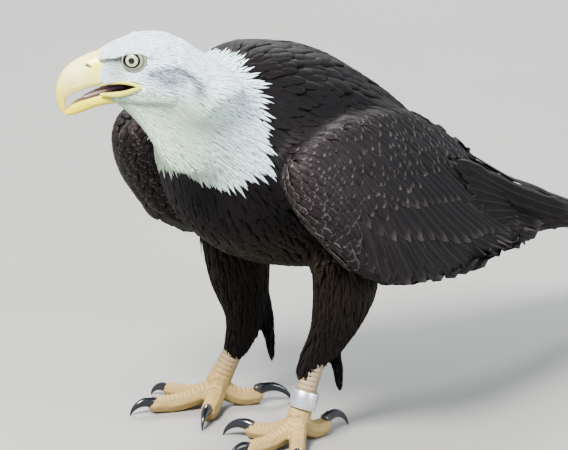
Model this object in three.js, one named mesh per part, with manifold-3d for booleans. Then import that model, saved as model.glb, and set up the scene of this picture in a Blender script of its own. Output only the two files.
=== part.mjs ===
// A life-size bald eagle, standing with its head low and turned to its right.
// Millimetres. +X is the way the body faces, +Y its left side, +Z up.
// Body places are measured from the floor point midway between the feet, and the finished
// bird is then moved so that the centre of its bounding box's bottom is the origin.
import * as THREE from "three";
import { mergeVertices } from "three/addons/utils/BufferGeometryUtils.js";
import Module from "manifold-3d";

const wasm = await Module();
wasm.setup();

// ---------------------------------------------------------------- driving dimensions

const GAP = 0.45; // clearance between neighbouring solids
const SIMPLER = 0.2; // how far a face may stray when small facets are merged
const LEFT = 1;
const RIGHT = -1;

const HEAD_AT = [136, 2, 370]; // middle of the skull
const HEAD_TURN = -45; // degrees, to the bird's right
const EYE_RADIUS = 12;
const EYE_AT = [14.5, 15.2, 10]; // on the left, in the head's own frame

const TAIL_ROOT = [-205, 176];
const TAIL_TIP = [-458, 80];
const TAIL_HALF_WIDTH = 45;

const TOE_CLEAR = 7.2; // height of a toe's centre line, so that its sole is a small flat
const TOES = {
  inner: { turn: 60, length: 44, radius: 8.4, claw: 33 },
  middle: { turn: 0, length: 60, radius: 8, claw: 28 },
  outer: { turn: -48, length: 50, radius: 7.4, claw: 23 },
  hind: { turn: 172, length: 37, radius: 8.2, claw: 39 },
};
const CLAW_BEND = 100; // degrees of arc from a claw's root to its point
const CLAW_LIFT = 28; // degrees that it rises at its root
const CLAW_SLIM = 0.62; // its radius at the root, as a share of its toe's
const CLAW_POINT = 0.45;
const CLAW_FLAT = 0.4; // worn off the underside where a claw meets the floor
const BAND_INNER = 10.9;
const BAND_OUTER = 12.3;
const BAND_HEIGHT = 16;
const BAND_AT = 20; // from the foot's middle, up the shank
const BAND_LOCK = [6, 1.6]; // the folded seam: how far it stands out, and how thick it is
const SLAB = 400; // wider than the stance

const LEGS = {
  left: {
    side: LEFT,
    wingAhead: 0,
    toesTurn: -4,
    foot: [0, 46, 21],
    hock: [-23, 50, 88],
    thigh: [
      [-34, 68, 176, 37, 30],
      [-38, 68, 146, 37, 30],
      [-36, 60, 116, 30, 26],
      [-29, 53, 92, 23, 20],
      [-15, 46, 72, 14.5, 13.5],
      [-11, 46, 58, 11.5, 11.5],
    ],
  },
  right: {
    side: RIGHT,
    wingAhead: 18,
    toesTurn: -26,
    foot: [-22, -77, 21],
    hock: [-49, -61, 84],
    thigh: [
      [-34, -70, 176, 37, 30],
      [-38, -67, 142, 37, 30],
      [-40, -65, 112, 31, 26],
      [-43, -63, 88, 25, 20],
      [-38, -65, 64, 16, 14.5],
      [-33, -68, 50, 11.5, 11.5],
    ],
  },
};

// ---------------------------------------------------------------- building blocks

const vec = (p) => new THREE.Vector3(...p);
const radians = THREE.MathUtils.degToRad;

// A smooth run of one quantity through the sections of a loft.
const run = (points) =>
  new THREE.CatmullRomCurve3(points, false, "catmullrom", 0.5);

// A closed body drawn through sections. Each has a middle, and the vectors from it to its
// side, its top and its bottom. The two ends are rounded off over the given lengths.
function loft(sections, options) {
  const { rows, sides, caps = [8, 8], capRows = 2, square = 2, grow = 0 } = options;
  const last = sections.length - 1;
  const curves = {};
  for (const key of ["at", "side", "up", "down"]) {
    curves[key] = run(sections.map((s) => s[key]));
  }
  const ringAt = (t) => {
    const ring = {};
    for (const key in curves) ring[key] = curves[key].getPoint(t);
    return ring;
  };
  const rings = [];
  const endTangent = (t) => curves.at.getTangent(t);
  for (let i = 0; i < capRows; i++) {
    const turn = ((i + 0.35) / capRows) * (Math.PI / 2);
    rings.push({ t: 0, out: -Math.cos(turn) * (caps[0] + grow), size: Math.sin(turn) });
  }
  for (let i = 0; i <= rows; i++) rings.push({ t: i / rows, out: 0, size: 1 });
  for (let i = capRows - 1; i >= 0; i--) {
    const turn = ((i + 0.35) / capRows) * (Math.PI / 2);
    rings.push({ t: 1, out: Math.cos(turn) * (caps[1] + grow), size: Math.sin(turn) });
  }
  const points = [];
  const corner = (value) => Math.sign(value) * Math.abs(value) ** (2 / square);
  const wider = (v) => v.clone().setLength(v.length() + grow);
  for (const { t, out, size } of rings) {
    const ring = ringAt(t);
    const middle = ring.at.clone().addScaledVector(endTangent(t), out);
    for (let j = 0; j < sides; j++) {
      const angle = (j / sides) * Math.PI * 2;
      const across = corner(Math.cos(angle)) * size;
      const along = corner(Math.sin(angle)) * size;
      points.push(
        middle
          .clone()
          .addScaledVector(wider(ring.side), across)
          .addScaledVector(wider(along < 0 ? ring.down : ring.up), Math.abs(along)),
      );
    }
  }
  const start = ringAt(0).at.addScaledVector(endTangent(0), -caps[0] - grow);
  const end = ringAt(1).at.addScaledVector(endTangent(1), caps[1] + grow);
  points.push(start, end);
  const index = [];
  const at = (row, j) => row * sides + (j % sides);
  for (let j = 0; j < sides; j++) {
    index.push(points.length - 2, at(0, j + 1), at(0, j));
    index.push(points.length - 1, at(rings.length - 1, j), at(rings.length - 1, j + 1));
    for (let row = 0; row < rings.length - 1; row++) {
      index.push(at(row, j), at(row, j + 1), at(row + 1, j));
      index.push(at(row, j + 1), at(row + 1, j + 1), at(row + 1, j));
    }
  }
  const geometry = new THREE.BufferGeometry().setFromPoints(points);
  geometry.setIndex(index);
  return solid(geometry);
}

// A geometry as a manifold-3d solid, whichever way round its faces were made.
function solid(geometry) {
  const bare = new THREE.BufferGeometry();
  bare.setAttribute("position", geometry.getAttribute("position"));
  bare.setIndex(geometry.index);
  const merged = mergeVertices(bare, 1e-3);
  const make = (triVerts) =>
    new wasm.Manifold(
      new wasm.Mesh({
        numProp: 3,
        vertProperties: new Float32Array(merged.attributes.position.array),
        triVerts,
      }),
    );
  const faces = new Uint32Array(merged.index.array);
  const made = make(faces);
  return made.volume() > 0 ? made : make(faces.reverse());
}

// A section that stands in the body's own upright plane: top and bottom are [x, z].
function rung({ top, bottom, half, middle = 0.5, y = 0 }) {
  const upper = new THREE.Vector3(top[0], y, top[1]);
  const lower = new THREE.Vector3(bottom[0], y, bottom[1]);
  const at = lower.clone().lerp(upper, middle);
  return {
    at,
    side: new THREE.Vector3(0, half, 0),
    up: upper.sub(at),
    down: lower.sub(at),
  };
}

// Sections of a limb: each point is [x, y, z, half-width across, half-height].
// `over` is the direction that its height is measured in, as nearly as its run allows.
function limb(points, over = new THREE.Vector3(0, 0, 1)) {
  const places = points.map(([x, y, z]) => new THREE.Vector3(x, y, z));
  return points.map(([, , , wide, high], i) => {
    const ahead = places[Math.min(i + 1, places.length - 1)]
      .clone()
      .sub(places[Math.max(i - 1, 0)])
      .normalize();
    const side = over.clone().cross(ahead).normalize();
    const up = ahead.clone().cross(side);
    return {
      at: places[i],
      side: side.multiplyScalar(wide),
      up: up.clone().multiplyScalar(high),
      down: up.multiplyScalar(-high),
    };
  });
}

const union = (solids) => solids.reduce((a, b) => a.add(b));
const cut = (body, tools) => tools.reduce((a, b) => a.subtract(b), body);

// The biggest piece, where a cut leaves crumbs.
const mainPiece = (body) =>
  body.decompose().reduce((a, b) => (a.volume() > b.volume() ? a : b));

function place(body, { at = [0, 0, 0], turn = 0 }) {
  const matrix = new THREE.Matrix4()
    .makeRotationZ(radians(turn))
    .setPosition(...at);
  return body.transform(matrix.elements);
}

const MATERIALS = {
  white_feather: { color: 0xe9ecf2, roughness: 0.85 },
  brown_feather: { color: 0x2b221d, roughness: 0.8 },
  wing_feather: { color: 0x3a2e27, roughness: 0.75 },
  yellow_horn: { color: 0xe6c25a, roughness: 0.4 },
  foot_skin: { color: 0xd9b678, roughness: 0.6 },
  claw_horn: { color: 0x17181d, roughness: 0.3 },
  iris: { color: 0xd8ddc4, roughness: 0.1 },
  tongue_skin: { color: 0x9b6b7c, roughness: 0.5 },
  band_metal: { color: 0xb9bccb, roughness: 0.35, metalness: 0.9 },
};

function mesh(name, body, material) {
  const whole = mainPiece(body.asOriginal().simplify(SIMPLER));
  const { vertProperties, triVerts, numProp } = whole.getMesh();
  const positions = new Float32Array((vertProperties.length / numProp) * 3);
  for (let i = 0; i < positions.length / 3; i++) {
    positions.set(vertProperties.subarray(i * numProp, i * numProp + 3), i * 3);
  }
  const geometry = new THREE.BufferGeometry();
  geometry.setAttribute("position", new THREE.BufferAttribute(positions, 3));
  geometry.setIndex(new THREE.BufferAttribute(triVerts, 1));
  geometry.computeVertexNormals();
  const made = new THREE.Mesh(
    geometry,
    new THREE.MeshStandardMaterial(MATERIALS[material]),
  );
  made.name = name;
  return made;
}

// ---------------------------------------------------------------- trunk and neck

function trunkBody(grow = 0) {
  const rungs = [
    { top: [92, 312], bottom: [100, 252], half: 38 },
    { top: [74, 348], bottom: [86, 214], half: 61 },
    { top: [40, 364], bottom: [56, 180], half: 80 },
    { top: [-12, 362], bottom: [4, 154], half: 90 },
    { top: [-62, 346], bottom: [-52, 139], half: 92 },
    { top: [-112, 315], bottom: [-104, 130], half: 80 },
    { top: [-160, 277], bottom: [-156, 126], half: 63 },
    { top: [-206, 232], bottom: [-206, 132], half: 46 },
    { top: [-246, 194], bottom: [-250, 144], half: 34 },
  ].map(rung);
  return loft(rungs, { rows: 11, sides: 16, caps: [14, 34], grow });
}

// The neck runs back and down from the skull, and flares into a cape over the shoulders.
function neckBody(grow = 0) {
  const sections = limb(
    [
      [16, 4, 250, 62, 50],
      [38, 4, 272, 70, 57],
      [60, 4, 296, 66, 57],
      [87, 3, 322, 56, 50],
      [113, 1, 346, 46, 42],
      [130, 0, 362, 36, 34],
    ],
    new THREE.Vector3(-0.7, 0, 0.7),
  );
  return loft(sections, { rows: 7, sides: 16, caps: [12, 16], grow });
}

// ---------------------------------------------------------------- head

// Everything in here is in the head's own frame: +X ahead, its middle at the origin.

function skullBody(grow = 0) {
  const skull = loft(
    [
      { top: [-42, 16], bottom: [-28, -40], half: 31, middle: 0.5 },
      { top: [-25, 25.5], bottom: [-14, -45], half: 35, middle: 0.48 },
      { top: [-4, 31], bottom: [2, -43], half: 33.5, middle: 0.45 },
      { top: [16, 30], bottom: [15, -39], half: 29, middle: 0.4 },
      { top: [31, 25.5], bottom: [26, -36], half: 22.5, middle: 0.42 },
      { top: [41, 19.5], bottom: [33, -33], half: 17.5, middle: 0.45 },
      { top: [46, 13.5], bottom: [36, -27], half: 13, middle: 0.5 },
    ].map(rung),
    { rows: 9, sides: 16, caps: [10, 1.5], grow },
  );
  const brows = [LEFT, RIGHT].map((side) =>
    loft(
      limb([
        [38, side * 11, 18, 3, 3],
        [27, side * 20, 19.5, 4.5, 3.6],
        [12, side * 25.5, 20, 5, 4],
        [-4, side * 27, 16, 5, 4],
      ]),
      { rows: 4, sides: 6, caps: [4, 6], capRows: 1, grow },
    ),
  );
  return union([skull, ...brows]);
}

function upperBill(grow = 0) {
  return loft(
    [
      { top: [34, 12], bottom: [28, -9], half: 12, middle: 0.35 },
      { top: [47, 13.6], bottom: [41, -12.5], half: 12.2, middle: 0.35 },
      { top: [60.5, 7.5], bottom: [51.5, -16.5], half: 10.6, middle: 0.36 },
      { top: [72.5, -2.5], bottom: [61, -20.5], half: 8.6, middle: 0.4 },
      { top: [80, -14.5], bottom: [68.3, -25], half: 6.4, middle: 0.42 },
      { top: [82.6, -26], bottom: [71.8, -31], half: 4.6, middle: 0.45 },
      { top: [80.8, -36], bottom: [73.2, -38], half: 2.9, middle: 0.45 },
      { top: [76.8, -43], bottom: [74.4, -43.2], half: 1.3, middle: 0.5 },
    ].map(rung),
    { rows: 11, sides: 12, caps: [4, 1.2], capRows: 1, grow },
  );
}

function tongueBody(grow = 0) {
  const points = [
    [10, 0, -19.5, 6.5, 2.4],
    [28, 0, -20, 6.5, 2.6],
    [44, 0, -23.5, 5.4, 2.3],
    [57, 0, -28.5, 3.6, 1.6],
  ];
  return loft(limb(points), { rows: 4, sides: 8, caps: [3, 3], capRows: 1, grow });
}

function lowerBill(grow = 0) {
  return loft(
    [
      { top: [16, -22], bottom: [18, -32], half: 16 },
      { top: [31, -21.5], bottom: [31, -34], half: 12.4 },
      { top: [46, -24.5], bottom: [45.5, -36.2], half: 9.8 },
      { top: [57, -29], bottom: [55.5, -39.4], half: 8 },
      { top: [65.5, -34.5], bottom: [64, -42.8], half: 6 },
      { top: [70, -39.8], bottom: [69.2, -43.8], half: 3.4 },
    ].map(rung),
    { rows: 6, sides: 12, caps: [4, 1.4], capRows: 1, grow, square: 2.4 },
  );
}

// The open mouth: a wedge from the corner of the gape forward, with the throat left in it.
function mouthOpening() {
  const wedge = loft(
    [
      { top: [12, -16.4], bottom: [12, -18.6], half: 34 },
      { top: [28, -12], bottom: [28, -21.5], half: 34 },
      { top: [50, -12], bottom: [50, -27], half: 34 },
    ].map(rung),
    { rows: 2, sides: 8, caps: [2, 4], capRows: 1, square: 8 },
  );
  const throat = loft(
    [
      { top: [-10, 10], bottom: [-10, -40], half: 15 },
      { top: [22, 10], bottom: [22, -40], half: 12 },
    ].map(rung),
    { rows: 1, sides: 8, caps: [3, 5], capRows: 1, square: 5 },
  );
  return wedge.subtract(throat);
}

function eyeBall(side, grow = 0) {
  const ball = new THREE.SphereGeometry(EYE_RADIUS + grow, 12, 8);
  ball.translate(EYE_AT[0], side * EYE_AT[1], EYE_AT[2]);
  return solid(ball);
}

function headPieces() {
  const bill = upperBill();
  const mouthFloor = tongueBody(GAP + 0.4);
  const chin = cut(lowerBill(), [mouthFloor, upperBill(GAP)]);
  const skull = cut(skullBody(), [
    mouthOpening(),
    upperBill(GAP),
    lowerBill(GAP),
    mouthFloor,
    eyeBall(LEFT, GAP),
    eyeBall(RIGHT, GAP),
  ]);
  return [
    mesh("head", skull, "white_feather"),
    mesh("bill_upper", bill.subtract(tongueBody(GAP)), "yellow_horn"),
    mesh("bill_lower", chin, "yellow_horn"),
    mesh("tongue", tongueBody(), "tongue_skin"),
    mesh("eye_left", eyeBall(LEFT), "iris"),
    mesh("eye_right", eyeBall(RIGHT), "iris"),
  ];
}

// ---------------------------------------------------------------- wings and tail

// The tail is a closed fan that slopes down and back from under the coverts.
function tailBody(grow = 0) {
  const [rootX, rootZ] = TAIL_ROOT;
  const [tipX, tipZ] = TAIL_TIP;
  const share = (t, half, thick) => {
    const x = rootX + (tipX - rootX) * t;
    const z = rootZ + (tipZ - rootZ) * t;
    return rung({ top: [x, z + thick], bottom: [x, z - thick], half });
  };
  const sections = [
    share(0, 30, 12),
    share(0.25, 33, 8),
    share(0.5, TAIL_HALF_WIDTH - 7, 5.5),
    share(0.75, TAIL_HALF_WIDTH - 2, 4.4),
    share(0.94, TAIL_HALF_WIDTH, 3.4),
    share(1, TAIL_HALF_WIDTH - 6, 2.6),
  ];
  return loft(sections, { rows: 8, sides: 14, caps: [10, 10], grow, square: 2.6 });
}

// A folded wing: leaf-shaped sections wrap the flank, and draw out into the long primaries.
// lean is how far the top of a section leans in over the back, in degrees.
function wingBody({ side, wingAhead }, grow = 0) {
  const places = [
    { x: 60, y: 97, z: 268, chord: 24, thick: 15, lean: 4 },
    { x: 48, y: 100, z: 262, chord: 40, thick: 22, lean: 6 },
    { x: 24, y: 101, z: 250, chord: 57, thick: 26, lean: 9 },
    { x: -16, y: 99, z: 232, chord: 78, thick: 28, lean: 12 },
    { x: -70, y: 92, z: 222, chord: 86, thick: 26, lean: 17 },
    { x: -130, y: 79, z: 211, chord: 80, thick: 20, lean: 22 },
    { x: -190, y: 65, z: 192, chord: 64, thick: 14, lean: 27 },
    { x: -250, y: 49, z: 168, chord: 42, thick: 10, lean: 34 },
    { x: -310, y: 38, z: 147, chord: 23, thick: 8, lean: 56 },
    { x: -370, y: 32, z: 128, chord: 17, thick: 5.5, lean: 70 },
    { x: -420, y: 28, z: 109, chord: 13, thick: 4, lean: 74 },
  ];
  const front = places[0].x;
  const back = places[places.length - 1].x;
  const sections = places.map(({ x, y, z, chord, thick, lean }) => {
    const ahead = wingAhead * THREE.MathUtils.smoothstep(x, back, front);
    const turn = radians(lean) * side;
    const up = new THREE.Vector3(0, -Math.sin(turn), Math.cos(turn));
    const out = new THREE.Vector3(0, Math.cos(turn), Math.sin(turn));
    return {
      at: new THREE.Vector3(x + ahead, side * y, z),
      side: out.multiplyScalar(thick),
      up: up.clone().multiplyScalar(chord),
      down: up.multiplyScalar(-chord),
    };
  });
  return loft(sections, { rows: 15, sides: 12, caps: [14, 24], grow });
}

// ---------------------------------------------------------------- legs and feet

// The feathered thigh, with the flag of long feathers that hangs behind the hock.
function thighBody({ thigh, hock }, grow = 0) {
  const ahead = new THREE.Vector3(1, 0, 0);
  const sections = limb(
    thigh.map(([x, y, z, fore, wide]) => [x, y, z, wide, fore]),
    ahead,
  );
  const [x, y, z] = hock;
  const flag = [
    [x - 4, y, z + 34, 16, 12],
    [x - 14, y, z + 6, 14, 11],
    [x - 21, y, z - 20, 9, 7],
    [x - 25, y, z - 42, 3.5, 3],
  ];
  return union([
    loft(sections, { rows: 8, sides: 14, caps: [10, 2.5], capRows: 1, grow }),
    loft(limb(flag, ahead), { rows: 4, sides: 8, caps: [6, 6], capRows: 1, grow }),
  ]);
}

function shankBody({ foot, hock }, grow = 0) {
  const mix = (t) => vec(foot).lerp(vec(hock), t).toArray();
  const sections = limb(
    [
      [...mix(0), 11, 11.5],
      [...mix(0.22), 9.2, 9.8],
      [...mix(0.6), 8.6, 9.2],
      [...mix(1), 9.5, 10],
    ],
    new THREE.Vector3(1, 0, 0),
  );
  return loft(sections, { rows: 4, sides: 12, caps: [9, 8], grow });
}

// A toe leaves the foot, dips to the floor and runs along it: its joints are slight swellings.
function toeBody({ foot }, turn, { length, radius }, grow = 0) {
  const heading = new THREE.Vector3(Math.cos(turn), Math.sin(turn), 0);
  const [footX, footY, footZ] = foot;
  const points = [
    { out: 0, high: footZ - 4, size: 1.18 },
    { out: 0.22, high: TOE_CLEAR + 6.5, size: 1.08 },
    { out: 0.45, high: TOE_CLEAR + 1.4, size: 0.98 },
    { out: 0.66, high: TOE_CLEAR, size: 1.02 },
    { out: 0.84, high: TOE_CLEAR, size: 0.94 },
    { out: 1, high: TOE_CLEAR + 0.4, size: 0.86 },
  ].map(({ out, high, size }) => [
    footX + heading.x * out * length,
    footY + heading.y * out * length,
    high,
    radius * size,
    radius * size,
  ]);
  return loft(limb(points), { rows: 6, sides: 8, caps: [3, 4.5], capRows: 1, grow });
}

// A claw is a horn bent along an arc, from the top of the toe's end down to the floor.
function clawBody({ foot }, turn, { length, radius, claw }, grow = 0) {
  const heading = new THREE.Vector3(Math.cos(turn), Math.sin(turn), 0);
  const root = vec([foot[0], foot[1], 0]).addScaledVector(heading, length - 1);
  const steps = 6;
  const lift = radians(CLAW_LIFT);
  const bend = radians(CLAW_BEND);
  const arc = claw / bend;
  const points = [];
  for (let i = 0; i <= steps; i++) {
    const turned = (i / steps) * bend;
    const out = arc * (Math.sin(turned - lift) + Math.sin(lift));
    const up = arc * (Math.cos(turned - lift) - Math.cos(lift));
    const size = radius * CLAW_SLIM * (1 - (i / steps) ** 1.3) + CLAW_POINT;
    const at = root.clone().addScaledVector(heading, out);
    points.push([at.x, at.y, TOE_CLEAR + 2.2 + up, size * 0.8, size]);
  }
  const lowest = Math.min(...points.map((p) => p[2] - p[4] * 0.6));
  for (const point of points) point[2] -= lowest + CLAW_FLAT;
  return loft(limb(points), { rows: 5, sides: 6, caps: [3, 0.8], capRows: 1, grow });
}

// Everything below the floor, as one slab that trims the soles flat.
function underFloor() {
  const slab = new THREE.BoxGeometry(SLAB, SLAB, SLAB);
  slab.translate(0, 0, -SLAB / 2);
  return solid(slab);
}

function legPieces(name, leg) {
  const floor = underFloor();
  const toeTurn = (toe) => radians(leg.toesTurn - toe.turn * leg.side);
  const pieces = [];
  const taken = [shankBody(leg, GAP)];
  for (const [toeName, toe] of Object.entries(TOES)) {
    const turn = toeTurn(toe);
    const tools = [floor, clawBody(leg, turn, toe, GAP), ...taken];
    const body = cut(toeBody(leg, turn, toe), tools);
    pieces.push(mesh(`toe_${toeName}_${name}`, body, "foot_skin"));
    const claw = clawBody(leg, turn, toe).subtract(floor);
    pieces.push(mesh(`claw_${toeName}_${name}`, claw, "claw_horn"));
    taken.push(toeBody(leg, turn, toe, GAP));
  }
  pieces.push(mesh(`shank_${name}`, shankBody(leg).subtract(floor), "foot_skin"));
  return pieces;
}

// The plain metal ring that the bird wears above its left foot.
function legBand({ foot, hock }) {
  const up = vec(hock).sub(vec(foot)).normalize();
  const ring = new THREE.LatheGeometry(
    [
      new THREE.Vector2(BAND_INNER, -BAND_HEIGHT / 2),
      new THREE.Vector2(BAND_OUTER, -BAND_HEIGHT / 2),
      new THREE.Vector2(BAND_OUTER, BAND_HEIGHT / 2),
      new THREE.Vector2(BAND_INNER, BAND_HEIGHT / 2),
      new THREE.Vector2(BAND_INNER, -BAND_HEIGHT / 2),
    ],
    24,
  );
  const [reach, thick] = BAND_LOCK;
  const lock = new THREE.BoxGeometry(reach, BAND_HEIGHT, thick);
  lock.translate(1 - BAND_OUTER - reach / 2, 0, 0);
  const at = vec(foot).addScaledVector(up, BAND_AT);
  const matrix = new THREE.Matrix4()
    .makeRotationFromQuaternion(
      new THREE.Quaternion().setFromUnitVectors(new THREE.Vector3(0, 1, 0), up),
    )
    .setPosition(at);
  return union([solid(ring), solid(lock)]).transform(matrix.elements);
}

// ---------------------------------------------------------------- the bird

const eagle = new THREE.Group();
const head = new THREE.Group();
head.position.set(...HEAD_AT);
head.rotation.z = radians(HEAD_TURN);
head.add(...headPieces());
eagle.add(head);

const inHead = (body) => place(body, { at: HEAD_AT, turn: HEAD_TURN });
const grownHead = inHead(union([skullBody(GAP), lowerBill(GAP)]));
const grownNeck = neckBody(GAP);
const grownTrunk = trunkBody(GAP);
const grownTail = tailBody(GAP);

eagle.add(mesh("neck", neckBody().subtract(grownHead), "white_feather"));
eagle.add(mesh("trunk", cut(trunkBody(), [grownNeck, grownTail]), "brown_feather"));
eagle.add(mesh("tail", tailBody(), "white_feather"));
for (const [name, leg] of Object.entries(LEGS)) {
  const wing = cut(wingBody(leg), [grownTrunk, grownNeck, grownTail]);
  eagle.add(mesh(`wing_${name}`, wing, "wing_feather"));
  const tools = [grownTrunk, wingBody(leg, GAP), shankBody(leg, GAP)];
  eagle.add(mesh(`thigh_${name}`, cut(thighBody(leg), tools), "brown_feather"));
  eagle.add(...legPieces(name, leg));
}
eagle.add(mesh("leg_band", legBand(LEGS.left), "band_metal"));

const part = new THREE.Group();
part.add(eagle);
part.updateMatrixWorld(true);
const box = new THREE.Box3().setFromObject(part, true);
eagle.position.set(
  -(box.min.x + box.max.x) / 2,
  -(box.min.y + box.max.y) / 2,
  -box.min.z,
);

export default part;
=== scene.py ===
# The looks of a life-size bald eagle: one skin, and the coat of feathers laid over it.
# Shapes are worked out in millimetres, in the body's own frame: +X ahead, +Y its left side,
# +Z up, and the head in a frame of its own. They are turned into metres where a mesh is made.
import itertools
import math
import bpy
import numpy as np
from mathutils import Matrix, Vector
from mathutils.bvhtree import BVHTree


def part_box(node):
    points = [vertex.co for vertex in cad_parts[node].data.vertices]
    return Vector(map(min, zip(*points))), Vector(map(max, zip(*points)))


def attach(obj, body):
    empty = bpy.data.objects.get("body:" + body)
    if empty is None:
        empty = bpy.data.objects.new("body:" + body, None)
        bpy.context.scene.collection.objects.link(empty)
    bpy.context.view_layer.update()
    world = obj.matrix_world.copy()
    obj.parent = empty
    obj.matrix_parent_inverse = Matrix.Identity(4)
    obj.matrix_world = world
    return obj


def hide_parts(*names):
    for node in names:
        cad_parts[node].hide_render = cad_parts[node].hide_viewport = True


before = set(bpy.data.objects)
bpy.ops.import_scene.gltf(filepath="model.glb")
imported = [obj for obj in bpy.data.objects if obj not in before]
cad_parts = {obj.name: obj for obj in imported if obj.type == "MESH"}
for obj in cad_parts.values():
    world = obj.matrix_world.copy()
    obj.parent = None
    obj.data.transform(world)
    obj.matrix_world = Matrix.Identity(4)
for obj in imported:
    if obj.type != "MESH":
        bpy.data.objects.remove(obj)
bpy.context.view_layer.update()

# ------------------------------------------------------------------ frames and sizes

HEAD_AT = np.array([136.0, 2.0, 370.0])  # middle of the skull, in the body's frame
EYE_AT = np.array([14.5, 15.2, 10.0])  # left eyeball, in the head's frame
SIDES = {"left": 1, "right": -1}


def middle(node):
    """The middle of a CAD node, in millimetres."""
    lo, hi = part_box(node)
    return np.array((lo + hi) / 2) * 1000


def unit(v):
    """Vectors at the length of one."""
    v = np.asarray(v, float)
    return v / np.maximum(np.linalg.norm(v, axis=-1, keepdims=True), 1e-9)


def ramp(low, high, x):
    """A smooth step: 0 up to low, and 1 from high on, which may be the smaller of the two."""
    t = np.clip((np.asarray(x, float) - low) / (high - low), 0, 1)
    return t * t * (3 - 2 * t)


def blend(a, b, t):
    """From a, where t is 0, to b, where t is 1."""
    return a + (b - a) * t


eyes = {name: middle(f"eye_{name}") for name in SIDES}
HEAD_SIDE = unit(eyes["left"] - eyes["right"])
HEAD_AHEAD = unit(np.cross(HEAD_SIDE, [0, 0, 1]))
HEAD_AXES = np.array([HEAD_AHEAD, HEAD_SIDE, [0, 0, 1]])
eyes_middle = (eyes["left"] + eyes["right"]) / 2
head_origin = eyes_middle - EYE_AT[0] * HEAD_AHEAD - EYE_AT[2] * HEAD_AXES[2]
SHIFT = head_origin - HEAD_AT  # from the body's frame to the CAD's, in millimetres


def to_head(points):
    """Places of the body's frame, in the head's own."""
    return (np.asarray(points) - HEAD_AT) @ HEAD_AXES.T


def from_head(points):
    """Places of the head's frame, in the body's."""
    return np.asarray(points, float) @ HEAD_AXES + HEAD_AT


def turns(count):
    """Angles evenly round a circle."""
    return np.arange(count) / count * 2 * np.pi


def circle(angle, ahead, up):
    """Directions round a circle, from one axis of it toward the other."""
    return np.cos(angle)[:, None] * ahead + np.sin(angle)[:, None] * up


def spline(points, t):
    """A smooth curve through points, at each t from 0 to 1."""
    p = np.asarray(points, float)
    last = len(p) - 1
    p = np.vstack([2 * p[0] - p[1], p, 2 * p[-1] - p[-2]])
    s = np.clip(np.asarray(t, float) * last, 0, last)
    i = np.minimum(s.astype(int), last - 1)
    w = (s - i)[..., None]
    a, b, c, d = p[i], p[i + 1], p[i + 2], p[i + 3]
    m, n = (c - a) / 2, (d - b) / 2
    return b + w * m + w**2 * (3 * (c - b) - 2 * m - n) + w**3 * (2 * (b - c) + m + n)


# ------------------------------------------------------------------ meshes


def quad_mesh(name, points, quads):
    """An object of quads or triangles, from points in the body's frame; a quad may repeat its last."""
    me = bpy.data.meshes.new(name)
    points = (np.asarray(points, float).reshape(-1, 3) + SHIFT) / 1000
    quads = np.asarray(quads)
    corners = np.ones(quads.shape, bool)
    corners[:, -1] = quads[:, -1] != quads[:, -2]
    me.vertices.add(len(points))
    me.vertices.foreach_set("co", points.astype(np.float32).ravel())
    me.loops.add(int(corners.sum()))
    me.loops.foreach_set("vertex_index", quads[corners].astype(np.int32))
    me.polygons.add(len(quads))
    me.polygons.foreach_set("loop_start", np.cumsum(corners.sum(1)) - corners.sum(1))
    me.update(calc_edges=True)
    me.validate()
    me.shade_smooth()
    ob = bpy.data.objects.new(name, me)
    bpy.context.scene.collection.objects.link(ob)
    return ob


def points_of(ob):
    """An object's vertices, in the body's frame."""
    co = np.empty(len(ob.data.vertices) * 3, np.float32)
    ob.data.vertices.foreach_get("co", co)
    return co.reshape(-1, 3).astype(float) * 1000 - SHIFT


def normals_of(ob):
    no = np.empty(len(ob.data.vertices) * 3, np.float32)
    ob.data.vertices.foreach_get("normal", no)
    return no.reshape(-1, 3).astype(float)


def tris_of(me):
    me.calc_loop_triangles()
    tri = np.empty(len(me.loop_triangles) * 3, np.int32)
    me.loop_triangles.foreach_get("vertices", tri)
    return tri.reshape(-1, 3)


def move_points(ob, points):
    """Put an object's vertices at places of the body's frame."""
    co = (points + SHIFT) / 1000
    ob.data.vertices.foreach_set("co", co.astype(np.float32).ravel())
    ob.data.update()


def paint(ob, name, colours):
    """A colour for each vertex, under a name that a material can read."""
    layer = ob.data.color_attributes.new(name, "FLOAT_COLOR", "POINT")
    full = np.ones((len(colours), 4), np.float32)
    full[:, : colours.shape[1]] = colours
    layer.data.foreach_set("color", full.ravel())


def applied(ob):
    """The object with its modifiers worked into its mesh."""
    graph = bpy.context.evaluated_depsgraph_get()
    graph.update()
    me = bpy.data.meshes.new_from_object(ob.evaluated_get(graph))
    ob.modifiers.clear()
    old = ob.data
    ob.data = me
    bpy.data.meshes.remove(old)
    me.shade_smooth()
    return ob


def smoothed(ob, rounds):
    soft = ob.modifiers.new("soft", "SMOOTH")
    soft.factor = 0.5
    soft.iterations = rounds
    return applied(ob)


def together(parts):
    """Several meshes as one: points, faces, and whatever else each part gives for its points."""
    points, faces, *rest = zip(*parts)
    starts = np.cumsum([0] + [len(p) for p in points])
    return [np.vstack(points), np.vstack([f + n for f, n in zip(faces, starts)]), *map(np.vstack, rest)]


def smooth_normals(points, tris, same=None):
    """A normal for each point; points that have one number in `same` share theirs."""
    same = np.arange(len(points)) if same is None else same
    a, b, c = (points[tris[:, k]] for k in range(3))
    cross = np.cross(b - a, c - a)
    total = np.zeros((same.max() + 1, 3))
    for k in range(3):
        np.add.at(total, same[tris[:, k]], cross)
    return unit(total)[same]


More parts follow.
